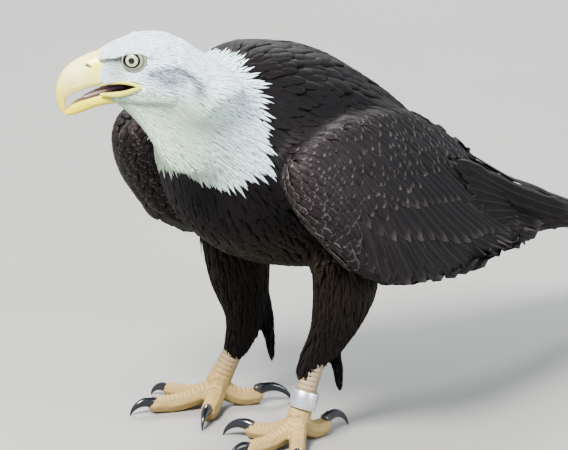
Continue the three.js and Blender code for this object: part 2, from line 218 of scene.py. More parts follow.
def fused(name, nodes, voxel, swell, rounds, extra=()):
    """One closed skin round some CAD nodes, with their facets smoothed away."""
    parts = []
    for node in nodes:
        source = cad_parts[node]
        points, tris = points_of(source), tris_of(source.data)
        _, same = np.unique(np.round(points, 2), axis=0, return_inverse=True)
        parts.append((points + smooth_normals(points, tris, same.ravel()) * swell, tris))
    ob = quad_mesh(name, *together(parts + list(extra)))
    remesh = ob.modifiers.new("remesh", "REMESH")
    remesh.mode = "VOXEL"
    remesh.voxel_size = voxel / 1000
    return smoothed(ob, rounds)


class Surface:
    """A mesh that can be asked for its nearest point and its smooth normal there."""

    def __init__(self, points, normals, tris):
        self.points, self.normals, self.tris = points, normals, tris
        self.tree = BVHTree.FromPolygons(points.tolist(), tris.tolist())

    @classmethod
    def of(cls, ob):
        return cls(points_of(ob), normals_of(ob), tris_of(ob.data))

    def nearest(self, points):
        """The nearest places on the surface, and its normals there."""
        found = [self.tree.find_nearest(p) for p in np.asarray(points).tolist()]
        places = np.array([f[0] for f in found])
        faces = np.array([f[2] for f in found])
        return places, unit(self.normals[self.tris[faces]].mean(1))

    def distance(self, points):
        return np.array([self.tree.find_nearest(p)[3] for p in np.asarray(points).tolist()])

    def scatter(self, where, count, rng):
        """Random places, evenly spread by area over the part whose points are chosen."""
        tris = self.tris[where[self.tris].all(1)]
        a, b, c = (self.points[tris[:, k]] for k in range(3))
        area = np.linalg.norm(np.cross(b - a, c - a), axis=1)
        pick = rng.choice(len(area), count, p=area / area.sum())
        r, s = rng.random((2, count))
        r = np.sqrt(r)
        w = np.stack([1 - r, r * (1 - s), r * s], 1)[..., None]
        return (self.points[tris[pick]] * w).sum(1)


def apart(points, spacing):
    """Which points to keep, so that no two are nearer than the spacing there."""
    cells = np.floor(points / spacing.max()).astype(int)
    near = list(itertools.product((-1, 0, 1), repeat=3))
    grid, keep = {}, []
    for i, (p, r, (cx, cy, cz)) in enumerate(zip(points.tolist(), spacing.tolist(), cells.tolist())):
        around = (q for x, y, z in near for q in grid.get((cx + x, cy + y, cz + z), ()))
        if all((p[0] - q[0]) ** 2 + (p[1] - q[1]) ** 2 + (p[2] - q[2]) ** 2 >= r * r for q in around):
            keep.append(i)
            grid.setdefault((cx, cy, cz), []).append(p)
    return np.array(keep, int)


# ------------------------------------------------------------------ lofts


def rung(top, bottom, half, middle=0.5):
    """An upright section of a loft: its top and bottom as (x, z), and its half-width."""
    top, bottom = np.array([top[0], 0, top[1]]), np.array([bottom[0], 0, bottom[1]])
    at = blend(bottom, top, middle)
    return at, np.array([0, half, 0.0]), top - at, bottom - at


def limb(points, over=(0, 0, 1)):
    """A loft's sections square to a line, from rows of x, y, z, half-width and half-height."""
    points = np.asarray(points, float)
    places = points[:, :3]
    ahead = unit(np.gradient(places, axis=0))
    side = unit(np.cross(over, ahead))
    up = np.cross(ahead, side)
    wide, high = points[:, 3:4], points[:, 4:5]
    return list(zip(places, side * wide, up * high, -up * high))


def tube_tris(points, rows, sides):
    """Triangles that face out, over rings of points one after another and a pole at each end."""
    row, j = np.meshgrid(np.arange(rows - 1), np.arange(sides), indexing="ij")
    a, b = row * sides + j, row * sides + (j + 1) % sides
    tris = np.stack([a, b, a + sides, b, b + sides, a + sides], -1).reshape(-1, 3)
    j = np.arange(sides)
    k = (j + 1) % sides
    last = (rows - 1) * sides
    first_pole, last_pole = np.full(sides, rows * sides), np.full(sides, rows * sides + 1)
    tris = np.vstack([tris, np.stack([first_pole, k, j], 1), np.stack([last_pole, last + j, last + k], 1)])
    a, b, c = (points[tris[:, k]] for k in range(3))
    volume = np.einsum("ij,ij->i", a, np.cross(b, c)).sum()
    return tris[:, ::-1] if volume < 0 else tris


def loft(sections, rows, sides, caps=(4, 4), cap_rows=6, square=2.0, under=None):
    """A closed tube through sections: points, triangles, and how far along it each point is."""
    at, side, up, down = (np.array([s[k] for s in sections]) for k in range(4))
    turn = (np.arange(cap_rows) + 0.3) / cap_rows * np.pi / 2
    t = np.concatenate([np.zeros(cap_rows), np.linspace(0, 1, rows + 1), np.ones(cap_rows)])
    out = np.concatenate([-np.cos(turn) * caps[0], np.zeros(rows + 1), np.cos(turn[::-1]) * caps[1]])
    size = np.concatenate([np.sin(turn), np.ones(rows + 1), np.sin(turn[::-1])])[:, None, None]
    near_ends = spline(at, np.array([1e-3, 1 - 1e-3]))
    way = [unit(near_ends[0] - at[0]), unit(at[-1] - near_ends[1])]
    heading = np.where(t[:, None] < 0.5, way[0], way[1])
    angle = turns(sides)
    power = 2 / np.where(np.sin(angle) < -1e-6, under or square, square)
    a, b = (np.sign(f) * np.abs(f) ** power for f in (np.cos(angle), np.sin(angle)))
    rings = (
        (spline(at, t) + heading * out[:, None])[:, None]
        + spline(side, t)[:, None] * a[None, :, None] * size
        + spline(up, t)[:, None] * np.maximum(b, 0)[None, :, None] * size
        + spline(down, t)[:, None] * np.maximum(-b, 0)[None, :, None] * size
    )
    points = np.vstack([rings.reshape(-1, 3), at[0] - way[0] * caps[0], at[-1] + way[1] * caps[1]])
    return points, tube_tris(points, len(t), sides), np.append(np.repeat(t, sides), [0, 1])


def ready(ob, material, slot, *nodes):
    """The object as a finished piece, with the CAD nodes that it stands in for."""
    ob.data.materials.clear()
    ob.data.materials.append(material)
    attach(ob, "root")
    if nodes:
        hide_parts(*nodes)
    return ob


def smooth_piece(name, parts, material, slot, *nodes):
    """One object from several closed lofts, each given as points, triangles and colours."""
    points, tris, colours = together([(p, f, np.broadcast_to(c, p.shape)) for p, f, c in parts])
    ob = quad_mesh(name, points, tris)
    paint(ob, "hue", colours)
    return ready(ob, material, slot, *nodes)


# sections of the skull, from its back to the bill
SKULL = [
    rung((-42, 16), (-28, -40), 31),
    rung((-25, 25.5), (-14, -46), 35, 0.48),
    rung((-4, 30.6), (2, -45), 33.5, 0.45),
    rung((16, 29.2), (16, -43), 29, 0.4),
    rung((29.5, 22.6), (28, -40), 23.4, 0.42),
    rung((37, 15.6), (35, -36.5), 18.4, 0.45),
    rung((41.5, 10.6), (38, -32), 13.8),
]
skull_points, skull_tris, _ = loft(SKULL, 90, 96, (10, 1.5))
skull_points = from_head(skull_points)
skull = Surface(skull_points, smooth_normals(skull_points, skull_tris), skull_tris)

# ------------------------------------------------------------------ the skin

BODY_NODES = ["head", "neck", "trunk", "tail"] + [f"{part}_{n}" for part in ("wing", "thigh") for n in SIDES]
SWELL = 1.2  # each solid is grown by this much before they are fused, to close the gaps


def coat_depth(points):
    """How far the skin lies inside the outline that the feather tips make."""
    local = to_head(points)
    x, y, z = local.T
    away = np.linalg.norm(local, axis=1)
    in_face = ramp(60, 50, away) * ramp(-26, -12, x) * ramp(-36, -24, z)
    in_face *= 1 + 1.3 * ramp(-8, -24, y) * ramp(-26, -10, x)
    depth = blend(blend(2.3, 5.5, ramp(40, 95, away)), 7.0, in_face)
    x, _, z = points.T
    low_leg = ramp(95, 50, z) * ramp(-130, -100, x)
    return blend(blend(depth, 3.0, low_leg), 1.6, ramp(-225, -275, x))


# loose feathers fill the angle under the jaw, and behind the head
FILLS = [
    [(30, 0, -34, 13, 6), (18, 0, -40, 22, 9), (3, 0, -49, 30, 12), (-12, 0, -65, 36, 16),
     (-26, 2, -84, 38, 18), (-50, 8, -98, 20, 8)],
    [(-20, 0, 6, 22, 18), (-36, 0, -4, 26, 19), (-50, 8, -18, 30, 22), (-66, 18, -36, 36, 24)],
]
fills = []
for line in FILLS:
    fill_points, fill_tris, _ = loft(limb(line, (0.5, 0, 1)), 16, 32)
    fills.append((from_head(fill_points), fill_tris))
fills.append((skull.points, skull.tris))
WHOLE = [n for n in BODY_NODES if n != "head"] + ["shank_left", "shank_right"]
body_skin = fused("skin_body", WHOLE, voxel=2.4, swell=SWELL, rounds=10, extra=fills)
outline = Surface.of(body_skin)


def thickness(surface):
    """How far it is through the body from each point of a surface."""
    starts = surface.points - surface.normals * 0.2
    hits = [surface.tree.ray_cast(p, w)[3] for p, w in zip(starts.tolist(), (-surface.normals).tolist())]
    return np.array([99.0 if h is None else h for h in hits])


def smooth_by(ob, share, rounds):
    """Even out an object's points, each by its own share."""
    edges = np.empty(len(ob.data.edges) * 2, np.int32)
    ob.data.edges.foreach_get("vertices", edges)
    a, b = edges.reshape(-1, 2).T
    points = points_of(ob)
    count = len(points)
    degree = np.bincount(a, minlength=count) + np.bincount(b, minlength=count)
    for _ in range(rounds):
        total = np.stack([
            np.bincount(a, points[b, k], count) + np.bincount(b, points[a, k], count) for k in range(3)
        ], 1)
        points += (total / degree[:, None] - points) * (0.5 * share)[:, None]
    move_points(ob, points)


def neck_share(points):
    """1 in the hollows round the neck, where the feathers bridge from one form to the next."""
    local = to_head(points)
    away = np.linalg.norm(local, axis=1)
    behind_face = ramp(-16, -36, local[:, 0]) + ramp(-30, -42, local[:, 2])
    return np.clip(behind_face, 0, 1) * ramp(185, 130, away) * ramp(36, 46, away)


smooth_by(body_skin, neck_share(outline.points), 170)
# the loose feathers of the hind neck stand up in a low mound
mound = np.exp(-((((points_of(body_skin) - [24, 6, 360]) / [34, 48, 40]) ** 2).sum(1)))
move_points(body_skin, points_of(body_skin) + np.outer(mound, [0.0, 0, 7.5]))
outline = Surface.of(body_skin)
inset = np.minimum(coat_depth(outline.points) + SWELL, 0.3 * thickness(outline))
move_points(body_skin, outline.points - outline.normals * inset[:, None])
skin = Surface.of(smoothed(body_skin, 6))

# which of the CAD nodes each point of the skin belongs to
near = {n: Surface.of(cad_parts[n]).distance(outline.points) for n in BODY_NODES}
region = np.array(BODY_NODES)[np.argmin(list(near.values()), axis=0)]

# ------------------------------------------------------------------ the lie of the coat

FLOW_LINES = [
    # crown, nape, back and rump
    [(164, -26, 392), (136, 2, 401), (104, 28, 384), (70, 16, 368), (20, 2, 366),
     (-60, 0, 348), (-112, 0, 316), (-160, 0, 278), (-206, 0, 233), (-250, 0, 190)],
    # chin, throat, breast, belly and vent
    [(164, -26, 334), (141, -2, 322), (118, 0, 296), (106, 0, 258), (88, 0, 215),
     (56, 0, 180), (4, 0, 152), (-52, 0, 139), (-104, 0, 130), (-160, 0, 126), (-250, 0, 143)],
    # left cheek, side of the neck, flank
    [(180, 5, 375), (153, 33, 368), (118, 46, 340), (78, 64, 308), (30, 84, 266),
     (-40, 92, 224), (-120, 80, 200), (-200, 46, 175)],
    # right cheek, side of the neck, flank
    [(165, -62, 372), (110, -24, 362), (84, -44, 334), (62, -60, 304), (24, -82, 266),
     (-40, -92, 224), (-120, -80, 200), (-200, -46, 175)],
    # the two thighs
    [(-34, 74, 170), (-38, 70, 130), (-32, 56, 95), (-15, 47, 70), (-10, 46, 45)],
    [(-34, -76, 170), (-40, -68, 130), (-43, -63, 90), (-38, -65, 64), (-30, -70, 40)],
]
flow_at, flow_way = [], []
for line in FLOW_LINES:
    t = np.linspace(0, 1, 5 * len(line))
    here = spline(line, t)
    flow_at.append(here)
    flow_way.append(unit(np.gradient(here, axis=0)))
flow_at, flow_way = np.vstack(flow_at), np.vstack(flow_way)


def lie_of(points):
    """The way the feathers point, blended from the nearest flow lines."""
    out = np.empty_like(points)
    for i in range(0, len(points), 4000):
        p = points[i : i + 4000]
        d2 = ((p[:, None] - flow_at[None]) ** 2).sum(2)
        w = 1 / (d2 + 500) ** 1.8
        out[i : i + 4000] = (w @ flow_way) / w.sum(1)[:, None]
    return unit(out)


def on_plane(ways, normals):
    """Directions laid down on the planes that have these normals."""
    return unit(ways - normals * (ways * normals).sum(-1, keepdims=True))


def stops(stations):
    """Where along a feather its sections are: nearer together toward the tip."""
    return 1 - (1 - np.linspace(0, 1, stations)) ** 1.45


def lay(roots, surface, length, rise, stations, lift, swing=None, lie=lie_of, cling=1.0):
    """Each feather's middle line, with normals and sides, along the skin from its root."""
    place, normal = surface.nearest(roots)
    way = on_plane(lie(place), normal)
    if swing is not None:
        side = np.cross(normal, way)
        way = way * np.cos(swing)[:, None] + side * np.sin(swing)[:, None]
    t = stops(stations)
    line, up, along = [], [], []
    for k in range(stations):
        if k:
            ahead = place + way * (length * (t[k] - t[k - 1]))[:, None]
            held, new = surface.nearest(ahead)
            hold = blend(1.0, cling, t[k])
            place = blend(ahead, held, hold)
            normal = unit(blend(normal, new, 0.6 * hold))
            way = on_plane(blend(way, lie(place), 0.3), normal)
        high = lift + rise * t[k]
        line.append(place + normal * np.reshape(high, (-1, 1)))
        up.append(normal)
        along.append(way)
    line, up, along = (np.stack(a, 1) for a in (line, up, along))
    return line, up, np.cross(up, along)


# ------------------------------------------------------------------ feathers

# A section across a vane, once round: how far across, and which face: 1 top, 0 edge, -1 under.
PLAIN_VANE = [(-1, 0), (0, 1), (1, 0), (0, -1)]
BROAD_VANE = [(-1, 0), (-0.5, 1), (0, 1), (0.5, 1), (1, 0), (0, -1)]
FLIGHT_VANE = [(-1, 0), (-0.6, 1), (-0.12, 1), (0, 2.2), (0.12, 1), (0.6, 1), (1, 0),
               (0.5, -1), (0, -2), (-0.5, -1)]


def outline_leaf(t):
    """Half-width along a feather, as a share of its greatest: here, drawn in to a narrow tip."""
    return np.where(t < 0.5, 0.45 + 0.55 * ramp(-0.1, 0.5, t), 1 - ramp(0.42, 1.16, t) ** 0.9 * 0.98)


def outline_round(t):
    """The same for a broad feather with a round end."""
    return ramp(-0.25, 0.35, t) * np.sqrt(np.clip(1.02 - t**3.6, 0, 1)) + 0.03


def outline_blade(t):
    """The same for a long feather, nearly as wide at its end as in the middle."""
    return ramp(-0.12, 0.2, t) * np.sqrt(np.clip(1.005 - ramp(0.74, 1.0, t) ** 1.8, 0, 1)) + 0.02


# a feather's outline and section together
LEAF = (outline_leaf, PLAIN_VANE)
ROUND = (outline_round, BROAD_VANE)
BLADE = (outline_blade, BROAD_VANE)
FLIGHT = (outline_blade, FLIGHT_VANE)
PATCH = 0.003  # how large a feather is on the map named OFBake


def plumage(name, roots, laid, half, vane, tones, hues, look, thick=0.35, arch=0.18):
    """One coat piece: a mesh of closed vanes along their middle lines, painted and finished."""
    line, up, side = laid
    shape, section = vane
    count, stations = line.shape[:2]
    across = np.array([a for a, _ in section], float)
    face = np.array([f for _, f in section], float)
    t = stops(stations)
    width = half[:, None] * shape(t)
    lifted = arch * (1 - across**2)
    worn = np.random.default_rng(count).uniform(0.8, 1.12, (count, stations, len(section)))
    worn = np.where(np.abs(across) > 0.4, worn, 1)
    out = (width[:, :, None] * across * worn)[..., None]
    high = (width[:, :, None] * lifted + thick * face / 2)[..., None]
    points = line[:, :, None] + side[:, :, None] * out + up[:, :, None] * high
    ring = len(section)
    quads = []
    for k in range(stations - 1):
        for j in range(ring):
            a, b = k * ring + j, k * ring + (j + 1) % ring
            quads.append((a, b, b + ring, a + ring))
    for base, turn in ((0, -1), ((stations - 1) * ring, 1)):
        for j in range(1, ring - 2, 2):
            cap = (base, base + j, base + j + 1, base + j + 2)
            quads.append(cap[::turn])
    quads = np.array(quads)
    start = np.arange(count)[:, None, None] * stations * ring
    ob = quad_mesh(name, points, (quads[None] + start).reshape(-1, 4))
    # where each corner is on its vane, and the same as a small patch on the skin's map
    on_vane = np.empty((stations, ring, 2))
    on_vane[..., 0] = across[None] / 2 + 0.5
    on_vane[..., 1] = t[:, None]
    corner = on_vane.reshape(-1, 2)[quads.ravel()]
    spot = wrapped(roots)
    lo, hi = spot.min(0), spot.max(0)
    spot = 0.01 + 0.98 * (spot - lo) / np.maximum(hi - lo, 1e-6)
    add_map(ob, "OFBake", spot[:, None] + (corner[None] - 0.5) * PATCH)
    add_map(ob, "vane", np.broadcast_to(corner, (count, *corner.shape)))
    paint(ob, "tone", np.repeat(tones, stations * ring, axis=0))
    paint(ob, "hue", np.repeat(hues, stations * ring, axis=0))
    return ready(ob, *look)


def add_map(ob, name, places):
    """A named map that gives each corner of each face its place."""
    layer = ob.data.uv_layers.new(name=name)
    layer.data.foreach_set("uv", np.ascontiguousarray(places, np.float32).ravel())


def wrapped(points):
    """Places on an unwrap of the body's skin: how far round it, and how far along it."""
    count = 120
    spine = spline([(170, -32, 360), (136, 2, 366), (90, 8, 325), (20, 2, 270),
                    (-80, 0, 235), (-200, 0, 185), (-300, 0, 145)], np.linspace(0, 1, count))
    way = unit(np.gradient(spine, axis=0))
    nearest = ((points[:, None] - spine[None]) ** 2).sum(2).argmin(1)
    axis = way[nearest]
    up = on_plane(np.broadcast_to([0.5, 0, 1.0], axis.shape), axis)
    side = np.cross(axis, up)
    off = points - spine[nearest]
    turn = np.arctan2((off * side).sum(1), (off * up).sum(1))
    along = nearest + (off * axis).sum(1) / 4
    return np.stack([turn / (2 * np.pi), along / count], 1)


def tones_for(rng, count, pale=0.0):
    """Each feather's own lightness, and the paleness of its edge."""
    return np.stack([rng.random(count), pale * rng.uniform(0.35, 1, count), np.zeros(count)], 1)


# ------------------------------------------------------------------ materials


class Shades:
    """A procedural material, made of nodes, that ends in one principled shader."""

    def __init__(self, name, **sockets):
        self.material = bpy.data.materials.new(name)
        self.material.use_nodes = True
        self.tree = self.material.node_tree
        self.tree.nodes.clear()
        out = self.tree.nodes.new("ShaderNodeOutputMaterial")
        self.shader = self.tree.nodes.new("ShaderNodeBsdfPrincipled")
        self.tree.links.new(self.shader.outputs[0], out.inputs["Surface"])
        for key, value in sockets.items():
            label = key.replace("_", " ").title().replace("Ior", "IOR")
            self.shader.inputs[label].default_value = value

    def put(self, value, socket):
        if isinstance(value, bpy.types.NodeSocket):
            self.tree.links.new(value, socket)
        elif isinstance(value, tuple) and socket.type == "RGBA":
            socket.default_value = (*value, 1.0)[:4]
        else:
            socket.default_value = value

    def node(self, kind, *values, out=0, **settings):
        made = self.tree.nodes.new(f"ShaderNode{kind}")
        for key, value in settings.items():
            setattr(made, key, value)
        for socket, value in zip(made.inputs, values):
            if value is not None:
                self.put(value, socket)
        return made.outputs[out]

    def math(self, operation, *values):
        return self.node("Math", *values, operation=operation)

    def step(self, value, low, high):
        return self.node("MapRange", value, low, high, 0.0, 1.0, interpolation_type="SMOOTHSTEP")

    def mix(self, share, a, b, blend_type="MIX"):
        unused = [None] * 5
        return self.node("Mix", share, *unused, a, b, out=2, data_type="RGBA", blend_type=blend_type)

    def scaled(self, colour, share):
        return self.node("VectorMath", colour, None, None, share, operation="SCALE")

    def noise(self, vector, scale, detail=3.0, rough=0.55):
        return self.node("TexNoise", vector, None, scale, detail, rough)

    def place(self):
        return self.node("TexCoord", out=3)

    def colour(self, name):
        return self.node("VertexColor", layer_name=name)

    def map(self, name):
        return self.node("UVMap", uv_map=name)

    def parts(self, vector):
        made = self.tree.nodes.new("ShaderNodeSeparateXYZ")
        self.put(vector, made.inputs[0])
        return made.outputs

    def join(self, x, y, z):
        return self.node("CombineXYZ", x, y, z)

    def bump(self, height, distance, strength):
        made = self.tree.nodes.new("ShaderNodeBump")
        made.inputs["Strength"].default_value = strength
        made.inputs["Distance"].default_value = distance / 1000
        self.put(height, made.inputs["Height"])
        return made.outputs[0]

    def finish(self, colour, normal=None):
        self.put(colour, self.shader.inputs["Base Color"])
        if normal is not None:
            self.put(normal, self.shader.inputs["Normal"])
        return self.material


def feather_material(name, edge, barbs, roughness, gap_shade, sheen=0.0, shaft=0.0, soft=0.0):
    """A vane: its own colour, a paler edge, a fine shaft, and barbs that slant out from it, with painted
    shade between them.
    """
    m = Shades(name, roughness=roughness, sheen_weight=sheen, sheen_roughness=0.5,
               specular_ior_level=0.2, subsurface_weight=soft, subsurface_scale=0.003)
    across, along, _ = m.parts(m.map("vane"))
    tone = m.parts(m.colour("tone"))
    off = m.math("ABSOLUTE", m.math("MULTIPLY_ADD", across, 2.0, -1.0))
    slant = m.math("MULTIPLY_ADD", off, -0.35, along)
    strands = m.join(
        m.math("MULTIPLY", slant, barbs), m.math("MULTIPLY", off, 1.3), m.math("MULTIPLY", tone[0], 37.0)
    )
    hair = m.noise(strands, 1.0, 2.0, 0.6)
    rim = m.math("MAXIMUM", m.step(off, 0.6, 0.97), m.step(along, 0.82, 0.98))
    rim = m.math("MULTIPLY", rim, tone[1])
    worn = m.math("MULTIPLY_ADD", m.step(hair, 0.35, 0.7), 0.5, 0.5)
    colour = m.mix(m.math("MULTIPLY", rim, worn), m.colour("hue"), edge)
    # painted shade in the gaps between the barbs, then each feather's own random lightness
    light = m.math("MULTIPLY_ADD", m.step(hair, 0.2, 0.8), gap_shade, 1.0 - gap_shade * 0.6)
    light = m.math("MULTIPLY", light, m.math("MULTIPLY_ADD", tone[0], 0.22, 0.89))
    colour = m.scaled(colour, light)
    if shaft:
        quill = m.math("SUBTRACT", 1.0, m.step(off, 0.02, 0.07))
        colour = m.mix(m.math("MULTIPLY", quill, shaft), colour, edge)
    return m.finish(colour, m.bump(hair, 0.25, 0.5))


def colour_mix(shares, colours):
    """The first colour, with each of the others laid over it by its share at each point."""
    out = np.array(colours[0], float)
    for share, colour in zip(shares, colours[1:]):
        out = blend(out, np.array(colour, float), np.reshape(share, (-1, 1)))
    return out


# ------------------------------------------------------------------ markings, and painted light and shade on the head

# colours, as linear red, green and blue
SNOW = (0.93, 0.935, 0.955)
# painted yellow-green light thrown up from below onto the lower head
LIGHT_FROM_BELOW = (0.62, 0.68, 0.44)
LORES = (0.56, 0.59, 0.50)
# grey of the smudges behind the eye, and also the colour of the painted shadow under the brow
SMUDGE_AND_BROW_SHADOW = (0.14, 0.12, 0.155)
MANTLE = (0.0062, 0.0047, 0.0054)
BREAST = (0.0155, 0.0105, 0.0068)
TROUSERS = (0.0085, 0.006, 0.0055)
VENT = (0.62, 0.61, 0.585)
COVERT = (0.0175, 0.0135, 0.0152)
QUILL = (0.007, 0.006, 0.0065)


def lumps(points, size, seed):
    """Smooth random values from 0 to 1 that change over about the given size."""
    rng = np.random.default_rng(seed)
    total = np.zeros(len(points))
    for _ in range(5):
        way = unit(rng.normal(size=3)) * 2 * np.pi / size * rng.uniform(0.6, 1.4)
        total += np.sin(points @ way + rng.uniform(0, 2 * np.pi))
    return 0.5 + total / 10


def distance_to(local, line):
    """How far points of the head are from a line through the given places, on either side."""
    path = spline(line, np.linspace(0, 1, 40))
    here = np.stack([local[:, 0], np.abs(local[:, 1]), local[:, 2]], 1)
    return np.sqrt(((here[:, None] - path[None]) ** 2).sum(2)).min(1)


def ridge(local, line, radius):
    """1 on a line of places, fading out to 0 at a radius from it."""
    return ramp(radius, 0, distance_to(local, line))


def spot(x, z, at, size, power=1.0):
    """1 at a place on the side of the head, fading out round it over a length and a height."""
    return np.exp(-((((x - at[0]) / size[0]) ** 2 + ((z - at[1]) / size[1]) ** 2) ** power))


NECK_FROM, NECK_TO = np.array([16, 4, 250.0]), np.array([130, 0, 362.0])
# how far up the neck the hood's ragged edge lies, by the angle round from its top
HOOD_TURN = [0, 36, 66, 82, 92, 101, 120, 140, 160, 180]
HOOD_EDGE = [97, 92, 78, 68, 62, 49, 51, 54, 64, 74]


def within_hood(points):
    """How far inside the hood's edge a point is, in millimetres along the neck."""
    axis = unit(NECK_TO - NECK_FROM)
    top = on_plane(np.array([-0.7, 0, 0.7]), axis)
    side = np.cross(top, axis)
    off = points - NECK_FROM
    turn = np.degrees(np.arctan2(np.abs(off @ side), off @ top))
    edge = np.interp(turn, HOOD_TURN, HOOD_EDGE) + 9 * (lumps(points, 22, 31) - 0.5)
    return off @ axis - edge


EAR_LINE = [(3, 0, 0.5), (-5, 0, 4), (-16, 0, 5), (-24, 0, 2), (-31, 0, -3), (-36, 0, -10)]


def head_colour(points):
    """Snowy, with painted yellow-green light from below, grey lores, smudges behind the eye, and a painted
    brow shadow.
    """
    local = to_head(points)
    x, y, z = local[:, 0], np.abs(local[:, 1]), local[:, 2]
    # the lower front of the head takes painted yellow-green light from below
    low = ramp(0, -30, z) * ramp(-90, -20, x)
    flat = local * [1, 0, 1]
    ear = 0.8 * spot(x, z, (-10, -2.5), (17, 7.5), 1.5)
    ear = np.maximum(ear, 0.95 * ridge(flat, EAR_LINE, 5.5))
    ear = np.maximum(ear, 0.95 * spot(x, z, (-35.5, -12), (5.5, 8)))
    ear = ear * ramp(10, 18, y) * (0.75 + 0.5 * lumps(local * [0.35, 1, 1.6], 4.5, 12))
    lore = spot(x, z, (31, 1), (10, 10), 1.5)
    # a painted shadow under the brow, in front of the eye
    shadow = 0.4 * spot(x, z, (30, 9), (7, 3.5))
    dark = np.clip(np.maximum(ear, shadow), 0, 1)
    return colour_mix([low * 0.9, lore, dark], [SNOW, LIGHT_FROM_BELOW, LORES, SMUDGE_AND_BROW_SHADOW])


def brown_colour(points):
    """The dark coat: mantle, breast and trousers, and the white vent."""
    x, z = points[:, 0], points[:, 2]
    under = ramp(235, 190, z) * ramp(-150, -100, x)
    vent = ramp(-118, -150, x) * ramp(190, 165, z)
    leg = ramp(150, 110, z) * ramp(-120, -90, x) * (1 - vent)
    shade = colour_mix([under, leg, vent], [MANTLE, BREAST, TROUSERS, VENT])
    return shade * (0.85 + 0.3 * lumps(points, 60, 5))[:, None]


def body_colour(points):
    white = ramp(4, 9, within_hood(points))[:, None]
    tail = ramp(-226, -240, points[:, 0])[:, None]
    return blend(blend(brown_colour(points), head_colour(points), white), np.array(VENT), tail)


# ------------------------------------------------------------------ head skin

BROW_X = [-16, -10, -3, 4, 11, 18, 25, 33, 41]
BROW_EDGE = [8, 10.5, 13.5, 16.0, 17.5, 17.2, 14.8, 11.6, 9.0]  # height of each brow's lower edge
BROW_OUT = [0, 27.0, 28.8, 29.8, 29.8, 28.4, 25.4, 20.8, 14.4]  # and how far out it stands
# on the left of the head: the lore, the cheek, and the gape's two edges from the bill back
LORE = [(38, 16.5, 4), (30, 21.5, 4)]
CHEEK = [(22, 25, -8), (8, 31, -12), (-4, 33.5, -14)]
UPPER_GAPE = [(44, 12.4, -15.4), (37, 16.2, -12.6), (29, 21.6, -10.0), (22, 25.8, -9.0),
              (15, 29.4, -9.4), (9.5, 31.6, -11.2)]
LOWER_GAPE = [(44, 12.2, -23.9), (37, 15.4, -22.4), (29, 20.6, -20.2), (22, 25.2, -17.6),
              (15, 29.6, -14.0), (9.5, 31.8, -11.6)]
EYE_AXES = {name: unit([0.22, 0.96 * side, 0.1]) for name, side in SIDES.items()}


def brow_at(x):
    """The height of the brow's lower edge."""
    return np.interp(x, BROW_X, BROW_EDGE)


def round_eye(local, name):
    """How far out along an eye's axis places of the head are, and how far from the axis."""
    off = local - EYE_AT * [1, SIDES[name], 1]
    out = off @ EYE_AXES[name]
    return out, np.linalg.norm(off - out[:, None] * EYE_AXES[name], axis=1)


def within_gape(local):
    """How far inside the open mouth a place is, between the two edges of the gape."""
    top, low = (np.interp(local[:, 0], *np.array(g)[::-1, [0, 2]].T) for g in (UPPER_GAPE, LOWER_GAPE))
    return np.minimum(top - local[:, 2], local[:, 2] - low) - 2 * ramp(11, 8.5, local[:, 0])


def head_shape():
    """The head's skin: brows, lores, cheeks, and the open mouth sunk between the jaws."""
    points, tris, _ = loft(SKULL, 120, 240, (10, 1.5))
    normals = smooth_normals(points, tris)
    crown = np.interp(points[:, 0], *np.array([(-42, 16), (-25, 25.5), (-4, 30.6), (16, 29.2),
                                               (29.5, 22.6), (37, 15.6), (43, 9)]).T)
    x, y, z = points.T
    edge = brow_at(x)
    rise = np.clip((z - edge) / np.maximum(crown - edge, 1), 0, 1)
    wide = np.interp(x, BROW_X, BROW_OUT) * (1 - rise**1.4) ** 0.62 * ramp(-1.6, 0.2, z - edge)
    points[:, 1] = np.where(wide > np.abs(y), np.sign(y) * wide, y)
    raised = 1.2 * ridge(points, CHEEK, 10) - 2.0 * ridge(points, LORE, 9)
    depth = 1.8 * blend(1, 0.45, ramp(26, 38, x))
    points += normals * (raised - depth)[:, None]
    # the mask of small feathers reaches forward over the bill's base
    points[:, 0] += 5.5 * ramp(22, 42, x) * ramp(-22, -8, z)
    inside = within_gape(points)
    open_here = ramp(-0.6, 1.4, inside)
    points[:, 1] *= 1 - open_here * np.maximum(0, 1 - 3.5 / np.maximum(np.abs(points[:, 1]), 3.5))
    points[:, 0] -= open_here * np.maximum(points[:, 0] - 24, 0)
    return points, tris, inside


head_points, head_tris, inside_gape = head_shape()
moved = from_head(head_points)
# behind the cheeks and under the jaw it runs on into the neck's skin, and then just under it
x, _, z = head_points.T
joined = np.maximum(ramp(-12, -34, x), ramp(-24, -38, z) * ramp(38, 30, x))
place, normal = skin.nearest(moved)
moved = blend(moved, place - normal * 1.6, joined[:, None])
head_skin = quad_mesh("skin_head", moved, head_tris)

# the sockets are sunk under the brows
for name in SIDES:
    local = to_head(moved)
    out, round_it = round_eye(local, name)
    below = ramp(0.4, -1.2, local[:, 2] - brow_at(local[:, 0]))
    sunk = ramp(13.0, 10.5, round_it) * (out > 0) * below
    moved = moved - (sunk[:, None] * EYE_AXES[name] * 3.4) @ HEAD_AXES
move_points(head_skin, moved)
face = Surface.of(smoothed(head_skin, 2))


def cast(surface, start, way):
    """Where a ray first meets a surface, as a distance; a long way off if it misses."""
    hit = surface.tree.ray_cast(Vector(start), Vector(way))
    return hit[3] if hit[0] is not None else 1e3


LID = [  # how far from the eye's axis, and how far out along it from the ball's centre
    (6.4, 9.4), (6.9, 10.3), (7.3, 10.75), (7.8, 10.85), (8.4, 10.5), (8.8, 9.9), (9.2, 9.75),
    (9.7, 9.9), (10.2, 9.75), (10.7, 9.3), (11.1, 8.9), (11.6, 8.9), (12.2, 8.9), (13.0, 8.8),
]


